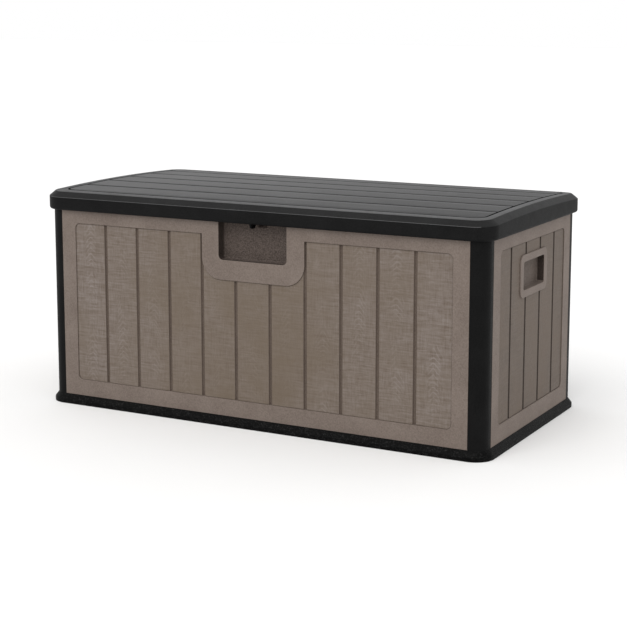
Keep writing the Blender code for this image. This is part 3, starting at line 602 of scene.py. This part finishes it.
def groove_tool(positions, outer, sign, axis):
    """Grooves with sloping walls and a flat floor between the planks."""
    bm = bmesh.new()
    face = outer - sign * FIELD_DEPTH
    half = ((0.0053, -0.0007), (0.0049, 0.0), (0.0042, 0.0009), (0.0035, 0.0032), (0.0027, GROOVE_DEPTH))
    section = list(half) + [(-a, b) for a, b in reversed(half)]
    for centre, low, high in positions:
        add_rings(bm, [
            [place(axis, face - sign * down, centre + across, z) for across, down in section]
            for z in (low, high)
        ])
    return bm


def rib_tool(positions, inner, sign, axis):
    """Low stiffening ribs on the inside of a wall."""
    bm = bmesh.new()
    for centre, low, high in positions:
        rings = []
        for grow, level in ((1.0, inner + sign * 0.001), (1.0, inner), (0.62, inner - sign * RIB_PROUD)):
            half = RIB_HALF * grow
            drop = (1.0 - grow) * 0.012
            corners = ((-half, low + drop), (half, low + drop), (half, high - drop), (-half, high - drop))
            rings.append([place(axis, level, centre + a, z) for a, z in corners])
        add_rings(bm, rings)
    return bm


def beside_recess(polygon):
    """True for the faces of the front panel that line the sides of the finger recess, which take painted
    shade.
    """
    centre = polygon.center
    inside = abs(centre.x) < RECESS_HALF_X + 0.001 and RECESS_LOW - 0.001 < centre.z < WALL_TOP - 0.001
    return inside and abs(polygon.normal.y) < 0.1


def paint_field(panel, axis, outer, sign):
    """Give planks and grooves their materials by each face's depth; the grooves and the sides of the finger
    recess take painted shade.
    """
    front = axis == "Y" and sign < 0.0
    floor = FIELD_DEPTH + GROOVE_DEPTH + 0.0001
    for polygon in panel.data.polygons:
        down = sign * (outer - polygon.center["XYZ".index(axis)])
        rise = abs(polygon.normal.z)
        if front and beside_recess(polygon):
            polygon.material_index = SHADE
        elif FIELD_DEPTH + 0.0003 < down < floor and rise < 0.7:
            polygon.material_index = GROOVES
        elif 0.0006 < down < floor and rise < 0.99:
            polygon.material_index = PLANKS


def grown(outline, distance):
    """An anticlockwise outline moved outward by a distance."""
    moved = []
    for i, here in enumerate(outline):
        back = Vector(here) - Vector(outline[i - 1])
        ahead = Vector(outline[(i + 1) % len(outline)]) - Vector(here)
        back.normalize()
        ahead.normalize()
        out = Vector((back.y + ahead.y, -back.x - ahead.x)).normalized()
        reach = distance / max(0.4, out.dot(Vector((ahead.y, -ahead.x))))
        moved.append((here[0] + out.x * reach, here[1] + out.y * reach))
    return moved


def field_tool(field, axis, outer, sign):
    """Sinks the field below the margins, with a small round at the lip."""
    profile = ((0.0006, 0.01), (0.0006, 0.0002), (0.0, -0.0006), (0.0, -FIELD_DEPTH))
    bm = bmesh.new()
    add_rings(bm, [
        [place(axis, outer + sign * level, a, b) for a, b in grown(field, grow)] for grow, level in profile
    ])
    return bm


def border_tool(field, axis, outer, sign):
    """A fine groove round the field, just inside the lip."""
    face = outer - sign * FIELD_DEPTH
    depth = BORDER_DEPTH[axis]
    profile = ((0.0002, 0.0008), (0.0002, -depth), (-0.0010, -depth), (-0.0018, 0.0008))
    bm = bmesh.new()
    add_rings(bm, [
        [place(axis, face + sign * level, a, b) for a, b in grown(field, grow)] for grow, level in profile
    ], closed=True)
    return bm


def make_wall(name, outline, top, axis, outer, sign, field, grooves, ribs):
    """A wall whose outer face lies at outer on an axis and looks along sign."""
    # The side walls take lit and shaded copies of the front's materials: painted light and painted shade.
    facing = (GRAIN["brown_margin"], brown_planks, GRAIN["groove_shade"], GRAIN["painted_shade"])
    sideways = (GRAIN["side_margin"], side_planks, GRAIN["side_groove_shade"])
    materials = facing if axis == "Y" else sideways
    wall = make_piece(name + "_detail", prism(outline, "Z", WALL_FOOT, top), *materials)
    carve(wall, field_tool(field, axis, outer, sign))
    carve(wall, border_tool(field, axis, outer, sign))
    carve(wall, groove_tool(grooves, outer, sign, axis))
    carve(wall, rib_tool(ribs, outer - sign * WALL, sign, axis), "UNION")
    return wall


def finish_wall(wall, node, axis, outer, sign):
    paint_field(wall, axis, outer, sign)
    smooth(wall, 22.0)
    attach(wall, "cabinet", "brown_resin", node)


def recess_outline(grow=0.0):
    r = RECESS_RADIUS
    corner = arc((RECESS_HALF_X - r, RECESS_LOW + r), r + grow, -90.0, 0.0, 8)
    right = corner + [(RECESS_HALF_X + grow, WALL_TOP + 0.02)]
    return right + [(-a, b) for a, b in reversed(right)]


def build_front_wall():
    grooves = []
    ribs = []
    for side in (-1, 1):
        for number in range(5):
            x = side * PLANK * (number + 0.5)
            high = SURROUND_LOW if number == 0 else FIELD_HIGH
            grooves.append((x, FIELD_LOW + FIELD_MARGIN, high - FIELD_MARGIN))
            ribs.append((x, RIB_FOOT, 0.40 if number < 2 else 0.50))
    outline = panel_outline(POST_EDGE_X, BODY_HALF_Y)
    outer = -BODY_HALF_Y
    wall = make_wall("front_panel", outline, WALL_TOP, "Y", outer, -1.0, surround_field(), grooves, ribs)
    carve(wall, prism(recess_outline(), "Y", outer - 0.02, outer + 2.0 * WALL))
    finish_wall(wall, "front_panel", "Y", outer, -1.0)


def build_rear_wall():
    places = [(n - 4.5) * PLANK for n in range(10)]
    grooves = [(x, FIELD_LOW + FIELD_MARGIN, REAR_FIELD_HIGH - FIELD_MARGIN) for x in places]
    ribs = [(x, RIB_FOOT, 0.48) for x in places]
    outline = turn_outline(panel_outline(POST_EDGE_X, BODY_HALF_Y), 2)
    field = plain_field(FIELD_HALF_X, REAR_FIELD_HIGH)
    wall = make_wall("rear_panel", outline, REAR_TOP, "Y", BODY_HALF_Y, 1.0, field, grooves, ribs)
    finish_wall(wall, "rear_panel", "Y", BODY_HALF_Y, 1.0)


def build_side_walls():
    places = [(n - 1.5) * PLANK for n in range(4)]
    rib_tops = (0.50, 0.345, 0.345, 0.235)      # they stop below the grip and below the strut's plate
    grooves = [(y, FIELD_LOW + FIELD_MARGIN, FIELD_HIGH - FIELD_MARGIN) for y in places]
    ribs = [(y, RIB_FOOT, top) for y, top in zip(places, rib_tops)]
    hole_y = GRIP_HALF_Y + GRIP_HOLE_GAP
    hole_z = GRIP_HALF_Z + GRIP_HOLE_GAP
    hole = rounded_rectangle(hole_y, hole_z, 0.0075, 6, (0.0, GRIP_Z))
    for side, sign in (("left", -1.0), ("right", 1.0)):
        outline = turn_outline(panel_outline(POST_EDGE_Y, BODY_HALF_X), 1 if sign > 0 else 3)
        outer = sign * BODY_HALF_X
        field = plain_field(FIELD_HALF_Y, FIELD_HIGH)
        name = side + "_panel"
        wall = make_wall(name, outline, WALL_TOP, "X", outer, sign, field, grooves, ribs)
        carve(wall, prism(hole, "X", outer - sign * 0.03, outer + sign * 0.03))
        finish_wall(wall, name, "X", outer, sign)


def build_posts():
    for end, sign_y, top in (("front", -1.0, WALL_TOP), ("rear", 1.0, REAR_TOP)):
        for side, sign_x in (("left", -1.0), ("right", 1.0)):
            centre = (BODY_HALF_X - POST_RADIUS, -(BODY_HALF_Y - POST_RADIUS))
            x_seam = POST_EDGE_X + SEAM / 2
            y_seam = -(POST_EDGE_Y + SEAM / 2)
            x_full = POST_EDGE_X + LAP_LENGTH + GAP
            y_full = -(POST_EDGE_Y + LAP_LENGTH + GAP)
            outline = [(x_seam, -BODY_HALF_Y)]
            outline += arc(centre, POST_RADIUS, -90.0, 0.0, 20)
            outline += [(BODY_HALF_X, y_seam), (BODY_HALF_X - LAP, y_seam), (BODY_HALF_X - LAP, y_full)]
            outline.append((BODY_HALF_X - WALL, y_full))
            outline += arc(centre, POST_RADIUS - WALL, 0.0, -90.0, 16)
            outline += [(x_full, -BODY_HALF_Y + WALL), (x_full, -BODY_HALF_Y + LAP)]
            outline.append((x_seam, -BODY_HALF_Y + LAP))
            outline = [(sign_x * x, -sign_y * y) for x, y in outline]
            name = f"corner_post_{end}_{side}"
            post = make_piece(name + "_detail", prism(outline, "Z", WALL_FOOT, top), GRAIN["black_grain"])
            smooth(post)
            soften(post, 0.0007, 3)
            attach(post, "cabinet", "black_resin", name)


def sill_rim():
    """The outside of the sill: a small foot, an upright edge and the slope up to the walls."""
    slope = SILL_HIGH.x - BODY_HALF_X - 0.001
    corners = (
        (0.0030, 0.0, 0.0), (0.0004, 0.0, 0.0012), (0.0, 0.0060, 0.0),
        (0.0, SILL_EDGE, 0.0035), (slope, SILL_TOP, 0.0010), (slope + 0.0012, SILL_TOP, 0.0),
    )
    rings = []
    for inset, level in rounded_path(corners, 4):
        outline = rounded_rectangle(SILL_HIGH.x - inset, SILL_HIGH.y - inset, SILL_RADIUS - inset, 14)
        rings.append([Vector((x, y, level)) for x, y in outline])
    bm = bmesh.new()
    add_rings(bm, rings)
    return bm


def seat_tool():
    """The channel that the walls and posts stand in."""
    above = 0.04
    channel = []
    for offset, level in ((GAP, SEAT_FLOOR), (GAP, above), (-WALL - GAP, above), (-WALL - GAP, SEAT_FLOOR)):
        outline = rounded_rectangle(BODY_HALF_X + offset, BODY_HALF_Y + offset, POST_RADIUS + offset, 14)
        channel.append([Vector((x, y, level)) for x, y in outline])
    bm = bmesh.new()
    add_rings(bm, channel, closed=True)
    return bm


def pocket_tool():
    """Moulded pockets in the underside."""
    step_x = 2.0 * (BODY_HALF_X - WALL) / POCKET_GRID[0]
    step_y = 2.0 * (BODY_HALF_Y - WALL) / POCKET_GRID[1]
    levels = ((0.0, -0.01), (0.0, 0.0), (POCKET_DRAFT, POCKET_TOP))
    half_x = (step_x - POCKET_WEB) / 2
    half_y = (step_y - POCKET_WEB) / 2
    bm = bmesh.new()
    for centre in grid(POCKET_GRID, step_x, step_y):
        add_rings(bm, tapered_rings(half_x, half_y, 0.005, 3, centre, levels))
    return bm


def floor_tool():
    """Shallow sunk panels in the floor inside the box."""
    step_x = 2.0 * (BODY_HALF_X - WALL - FLOOR_EDGE) / FLOOR_GRID[0]
    step_y = 2.0 * (BODY_HALF_Y - WALL - FLOOR_EDGE) / FLOOR_GRID[1]
    levels = ((0.0, 0.03), (0.0, SILL_TOP), (0.0025, SILL_TOP - FLOOR_DEPTH))
    half_x = (step_x - FLOOR_BAND) / 2
    half_y = (step_y - FLOOR_BAND) / 2
    bm = bmesh.new()
    for centre in grid(FLOOR_GRID, step_x, step_y):
        add_rings(bm, tapered_rings(half_x, half_y, 0.02, 6, centre, levels))
    return bm


def build_sill():
    sill = make_piece("base_tray_detail", sill_rim(), sill_grain_and_glints)
    for tool in (seat_tool(), pocket_tool(), floor_tool()):
        carve(sill, tool)
    smooth(sill, 28.0)
    soften(sill, 0.0005)
    attach(sill, "cabinet", "black_resin", "base_tray")


def build_recess_cup():
    """Cup behind the finger recess, rounded where its sides meet its back."""
    cup = make_piece("recess_cup_detail", box(CUP_LOW, CUP_HIGH), recess_grain)
    r = RECESS_BACK_ROUND
    profile = [(0.0, -BODY_HALF_Y - 0.02), (0.0, RECESS_BACK - r)]
    for turn in (0.3, 0.7, 1.1, math.pi / 2):
        profile.append((r * math.cos(turn) - r, RECESS_BACK - r + r * math.sin(turn)))
    bm = bmesh.new()
    add_rings(bm, [[Vector((a, level, b)) for a, b in recess_outline(grow)] for grow, level in profile])
    carve(cup, bm)
    # Painted shade: the cup's side walls take the dark painted-shade brown.
    cup.data.materials.append(GRAIN["painted_shade"])
    for polygon in cup.data.polygons:
        if abs(polygon.normal.x) > 0.6 and abs(polygon.center.x) < RECESS_HALF_X + 0.0005:
            polygon.material_index = 1
    smooth(cup)
    soften(cup, 0.0005)
    attach(cup, "cabinet", "recess_resin", "front_grip_cup")


def grip_rings(sign):
    """The outside of the pocket, the bezel's edge and face, then the inside of the pocket."""
    face = GRIP_HIGH.x
    seat = BODY_HALF_X - FIELD_DEPTH + GAP
    rim = BEZEL_HALF_Y - GRIP_HALF_Y
    floor = face - GRIP_DEPTH
    corners = (
        (0.0, seat, 0.0), (0.0, face, BEZEL_ROUND), (rim, face, BEZEL_ROUND),
        (rim + 0.0006, floor, 0.003), (rim + 0.012, floor, 0.0),
    )
    outside = [(rim - GRIP_SKIN, GRIP_LOW.x), (rim - GRIP_SKIN, seat)]
    rings = []
    for inset, level in outside + rounded_path(corners, 4):
        half_z = BEZEL_HALF_Z - inset * (BEZEL_HALF_Z - GRIP_HALF_Z) / rim
        radius = BEZEL_RADIUS + (GRIP_RADIUS - BEZEL_RADIUS) * min(1.0, inset / rim)
        outline = rounded_rectangle(BEZEL_HALF_Y - inset, half_z, radius, 10, (0.0, GRIP_Z))
        rings.append([Vector((sign * level, y, z)) for y, z in outline])
    return rings


def paint_grip(grip):
    """The pocket's back and floor take a brown darkened as painted shade, and its other sides the darker
    painted shade.
    """
    for polygon in grip.data.polygons:
        centre = polygon.center
        normal = polygon.normal
        within = abs(centre.y) < GRIP_HALF_Y and abs(centre.z - GRIP_Z) < GRIP_HALF_Z
        if within and abs(centre.x) < GRIP_HIGH.x - 0.002:
            polygon.material_index = POCKET if abs(normal.x) > 0.5 or normal.z > 0.5 else POCKET_SIDE_SHADE


def build_side_grips():
    materials = (GRAIN["bezel_grain"], GRAIN["pocket_shade"], GRAIN["painted_shade"])
    for side, sign in (("left", -1.0), ("right", 1.0)):
        bm = bmesh.new()
        add_rings(bm, grip_rings(sign))
        grip = make_piece(f"side_grip_{side}_detail", bm, *materials)
        paint_grip(grip)
        smooth(grip, 40.0)
        attach(grip, "cabinet", "brown_resin", f"side_grip_{side}")


# ---------------------------------------------------------------- lid
def crown(y):
    """How far the lid's top rises above the chamfer."""
    return CROWN * (1.0 - (y / CROWN_REACH) ** 2)


GROOVE_SECTION = ((0.0046, 0.0), (0.0038, 0.0003), (0.0030, 0.0014), (0.0018, 0.0030), (0.0, 0.0033))


def lid_rows():
    """Distances along Y of the rows of points on the lid's field, with how deep each one lies."""
    rows = {}
    for number in range(LID_GROOVES):
        y = LID_MIDDLE_GROOVE + (number - LID_GROOVES // 2) * LID_PLANK
        for across, down in GROOVE_SECTION:
            rows[round(y - across, 6)] = down
            rows[round(y + across, 6)] = down
        for share in (0.25, 0.5, 0.75):
            if number < LID_GROOVES - 1:
                rows[round(y + share * LID_PLANK, 6)] = 0.0
    for y in (-0.235, -0.21, 0.25):
        rows[y] = 0.0
    return sorted(rows.items())


def lid_ring(inset, level, crowned, rows):
    half_x = LID_HALF_X - inset
    half_y = LID_HALF_Y - inset
    outline = rounded_rectangle(half_x, half_y, LID_RADIUS - inset, LID_STEPS, rows=rows)
    return [Vector((x, y, level + crowned * crown(y))) for x, y in outline]


def lid_edge_rings(rows):
    """The inside of the skirt, its foot rounded about the hinge line, its outside and the chamfer."""
    rings = [
        lid_ring(CHAMFER_INSET + 0.0025, CHAMFER_TOP - 0.0045, 1.0, rows),
        lid_ring(SKIRT_SKIN, SKIRT_TOP - 0.003, 1.0, rows),
    ]
    for angle in (73.4, 60.0, 45.0, 30.0, 15.0, 0.0):
        turn = math.radians(angle)
        inset = BARREL_RADIUS * (1.0 - math.cos(turn))
        rings.append(lid_ring(inset, HINGE_Z - BARREL_RADIUS * math.sin(turn), 0.0, rows))
    edge = (
        (0.0, SKIRT_STRAIGHT, 0.0), (0.0, SKIRT_TOP, EDGE_ROUND),
        (CHAMFER_INSET, CHAMFER_TOP, EDGE_ROUND), (CHAMFER_INSET + 0.006, CHAMFER_TOP, 0.0),
    )
    for inset, level in rounded_path(edge, 5):
        share = (level - SKIRT_LEVEL) / (SKIRT_TOP - SKIRT_LEVEL)
        rings.append(lid_ring(inset, level, min(1.0, max(0.0, share)), rows))
    return rings


def lid_field_rings(sunk):
    """The groove round the planked field. Sunk gives how deep the field lies at each row."""
    centre = (0.0, (LID_FIELD_FRONT + LID_FIELD_REAR) / 2)
    half_y = (LID_FIELD_REAR - LID_FIELD_FRONT) / 2
    half = ((0.0036, 0.0), (0.0029, 0.0003), (0.0020, 0.0016), (0.0008, 0.0031))
    rings = []
    for grow, down in half + tuple((-across, down) for across, down in reversed(half)):
        half_x = LID_FIELD_HALF_X + grow
        outline = rounded_rectangle(
            half_x, half_y + grow, LID_FIELD_RADIUS + grow, LID_STEPS, centre, list(sunk))
        ring = []
        for x, y in outline:
            depth = max(down, sunk.get(y, 0.0)) if grow < 0.0 else down
            ring.append(Vector((x, y, CHAMFER_TOP + crown(y) - depth)))
        rings.append(ring)
    return rings


def lid_material(polygon):
    """Lit and shaded copies of the lid's black, by where a face lies and how it leans: painted shade on the
    skirt and in the creases, painted light on the chamfer and the border, and a painted highlight on the
    rolled front and rear edges.
    """
    centre = polygon.center
    rise = polygon.normal.z
    in_crease = centre.z < CHAMFER_TOP + crown(centre.y) - 0.0002
    if polygon.material_index == LID_FIELD:
        return LID_CREASE if in_crease else LID_FIELD
    if rise <= 0.10 or centre.z <= SKIRT_TOP - 0.002:
        return LID_SKIRT
    at_long_edge = abs(centre.y) > LID_HALF_Y - EDGE_BAND
    if abs(centre.x) <= LID_HALF_X - EDGE_BAND and not at_long_edge:
        return LID_CREASE if in_crease else LID_BORDER
    if rise >= 0.985:
        return LID_BORDER
    if 0.70 <= rise <= 0.83 or not (at_long_edge and abs(centre.x) < LID_HALF_X - 0.03):
        return LID_CHAMFER
    return LID_HIGHLIGHT


def build_lid_shell():
    sunk = dict(lid_rows())
    bm = bmesh.new()
    made = add_rings(bm, lid_edge_rings(list(sunk)) + lid_field_rings(sunk), cap=False)
    for row in (made[0], made[-1]):
        half = len(row) // 2
        for i in range(half - 1):
            face = bm.faces.new((row[i], row[i + 1], row[-2 - i], row[-1 - i]))
            if row is made[-1]:
                face.material_index = LID_FIELD
    edges = [GRAIN[name] for name in ("lid_edge", "lid_lit_chamfer", "lid_border", "lid_crease_shade")]
    shell = make_piece("lid_shell_detail", bm, GRAIN["lid_shaded_skirt"], lid_planks, *edges)
    for polygon in shell.data.polygons:
        polygon.material_index = lid_material(polygon)
    notches = bmesh.new()
    for x in HINGE_X:
        low = (x - LUG_HALF - 0.0005, HINGE_Y - 0.003, 0.520)
        high = (x + LUG_HALF + 0.0005, HINGE_Y + 0.02, LUG_TOP)
        box(low, high, notches)
    carve(shell, notches)
    smooth(shell, 40.0)
    attach(shell, "lid", "lid_resin", "lid_shell")


def build_lid_liner():
    """The lid's inner plate, with a raised frame round rows of sunk panels."""
    half_x = LINER_HIGH.x
    centre_y = (LINER_LOW.y + LINER_HIGH.y) / 2
    half_y = (LINER_HIGH.y - LINER_LOW.y) / 2
    outline = rounded_rectangle(half_x, half_y, LINER_RADIUS, 12, (0.0, centre_y))
    plate = prism(outline, "Z", LINER_LOW.z, LINER_HIGH.z)
    liner = make_piece("lid_liner_detail", plate, GRAIN["black_grain"])
    step_x = 2.0 * (half_x - WELL_MARGIN) / WELL_GRID[0]
    levels = ((0.0, LINER_LOW.z - 0.01), (0.0, LINER_LOW.z), (0.002, LINER_LOW.z + WELL_DEPTH))
    wells = bmesh.new()
    for centre in grid(WELL_GRID, step_x, WELL_PITCH_Y):
        add_rings(wells, tapered_rings((step_x - WELL_BAND) / 2, WELL_HALF_Y, 0.018, 6, centre, levels))
    carve(liner, wells)
    smooth(liner)
    soften(liner, 0.0006)
    attach(liner, "lid", "black_resin", "lid_liner")


# ---------------------------------------------------------------- screws
def screw(bm, axis, centre, face, out, radius=0.0042):
    """A pan head with a round recess, standing out of a face along an axis; out is +1 or -1."""
    profile = (
        (-0.0006, 1.0), (0.0005, 1.0), (0.0012, 0.86), (0.0017, 0.55), (0.0019, 0.38), (0.0009, 0.26),
    )
    turned([(face + out * rise, radius * share) for rise, share in profile], axis, centre, 20, bm=bm)


def finish_screws(name, bm, body):
    screws = make_piece(name, bm, zinc)
    smooth(screws)
    attach(screws, body, "zinc_steel")


def build_hinge_screws():
    face = BODY_HALF_Y + GAP + BRACKET_PLATE
    for name, x in zip(HINGES, HINGE_X):
        bm = bmesh.new()
        for dx in (-0.011, 0.011):
            for z in (0.482, 0.508):
                screw(bm, "Y", (x + dx, z), face, 1.0)
        finish_screws("hinge_screws_" + name, bm, "cabinet")


def build_strut_screws():
    for side, sign in (("left", -1.0), ("right", 1.0)):
        low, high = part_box(f"strut_wall_plate_{side}")
        face = low.x if sign > 0 else high.x
        bm = bmesh.new()
        for dz in (-0.0165, 0.0165):
            screw(bm, "X", ((low.y + high.y) / 2, (low.z + high.z) / 2 + dz), face, -sign)
        finish_screws(f"strut_plate_screws_{side}", bm, "cabinet")


def build_liner_screws():
    """A row along each long edge; the front one leaves out the place of the padlock tab."""
    bm = bmesh.new()
    for x in (-0.56, -0.28, 0.0, 0.28, 0.56):
        for y in (-0.2365, 0.2365):
            if y > 0 or x != 0.0:
                screw(bm, "Z", (x, y), LINER_LOW.z, -1.0, 0.0036)
    finish_screws("liner_screws", bm, "lid")


# ---------------------------------------------------------------- camera, light and floor
def aim(thing, direction):
    thing.rotation_mode = "QUATERNION"
    thing.rotation_quaternion = Vector(direction).to_track_quat("-Z", "Y")


def build_camera():
    azimuth = math.radians(CAMERA_AZIMUTH)
    elevation = math.radians(CAMERA_ELEVATION)
    level = math.cos(elevation)
    camera = bpy.data.objects.new("camera", bpy.data.cameras.new("camera"))
    bpy.context.scene.collection.objects.link(camera)
    bpy.context.scene.camera = camera
    camera.location = CAMERA_PLACE
    aim(camera, (-math.sin(azimuth) * level, math.cos(azimuth) * level, -math.sin(elevation)))
    camera.data.sensor_width = 36.0
    camera.data.lens = CAMERA_LENS
    camera.data.shift_y = CAMERA_SHIFT
    camera.data.clip_end = 100.0


def build_light():
    world = bpy.data.worlds.new("studio")
    bpy.context.scene.world = world
    world.use_nodes = True
    background = world.node_tree.nodes["Background"]
    background.inputs["Color"].default_value = (1.0, 1.0, 1.0, 1.0)
    background.inputs["Strength"].default_value = SKY_STRENGTH

    key = bpy.data.objects.new("key", bpy.data.lights.new("key", "SUN"))
    bpy.context.scene.collection.objects.link(key)
    key.data.energy = SUN_ENERGY
    key.data.angle = math.radians(SUN_ANGLE)
    key.data.color = SUN_COLOUR
    aim(key, SUN_TOWARD)


def build_floor():
    material, tree, shader, position = start_material("floor", Roughness=0.9, Specular_IOR_Level=0.1)
    set_colour(tree, shader, blend_colours(tree, noise(tree, position, 3.0), grey(0.765), grey(0.785)))
    reach = FLOOR_REACH
    corners = ((-reach, -reach), (reach, -reach), (reach, reach), (-reach, reach))
    bm = bmesh.new()
    bm.faces.new([bm.verts.new((x, y, 0.0)) for x, y in corners])
    floor = make_piece("floor", bm, material)
    if floor.data.polygons[0].normal.z < 0.0:
        floor.data.flip_normals()


def paint_nodes():
    """Materials and rounded edges for the nodes that keep their CAD meshes."""
    black = GRAIN["black_grain"]
    # Painted shade: the padlock eye takes the dark painted-shade brown.
    paint_node("padlock_eye", GRAIN["painted_shade"], 0.0006)
    paint_node("padlock_tab", black, 0.0006)
    for name in HINGES:
        paint_node("hinge_bracket_" + name, black, 0.0005)
        paint_node("hinge_lug_" + name, black, 0.0005)
        paint_node("hinge_pin_" + name, zinc)
    for name in ("lid_brace_front", "lid_brace_rear"):
        paint_node(name, zinc, 0.0)
    for side in ("left", "right"):
        for part in ("wall_plate", "wall_stud", "lid_bracket", "lid_stud", "piston"):
            paint_node(f"strut_{part}_{side}", zinc, 0.0003)
        for part in ("base_eye", "rod_eye", "gland"):
            paint_node(f"strut_{part}_{side}", GRAIN["strut_nylon"], 0.0004)
        paint_node(f"strut_tube_{side}", GRAIN["strut_paint"], 0.0004)
        paint_node(f"strut_rod_{side}", polished, 0.0003)


build_camera()
build_light()
build_floor()
bpy.context.scene.view_settings.view_transform = "Standard"

build_front_wall()
build_rear_wall()
build_side_walls()
build_posts()
build_sill()
build_recess_cup()
build_side_grips()
build_lid_shell()
build_lid_liner()
build_hinge_screws()
build_strut_screws()
build_liner_screws()
paint_nodes()
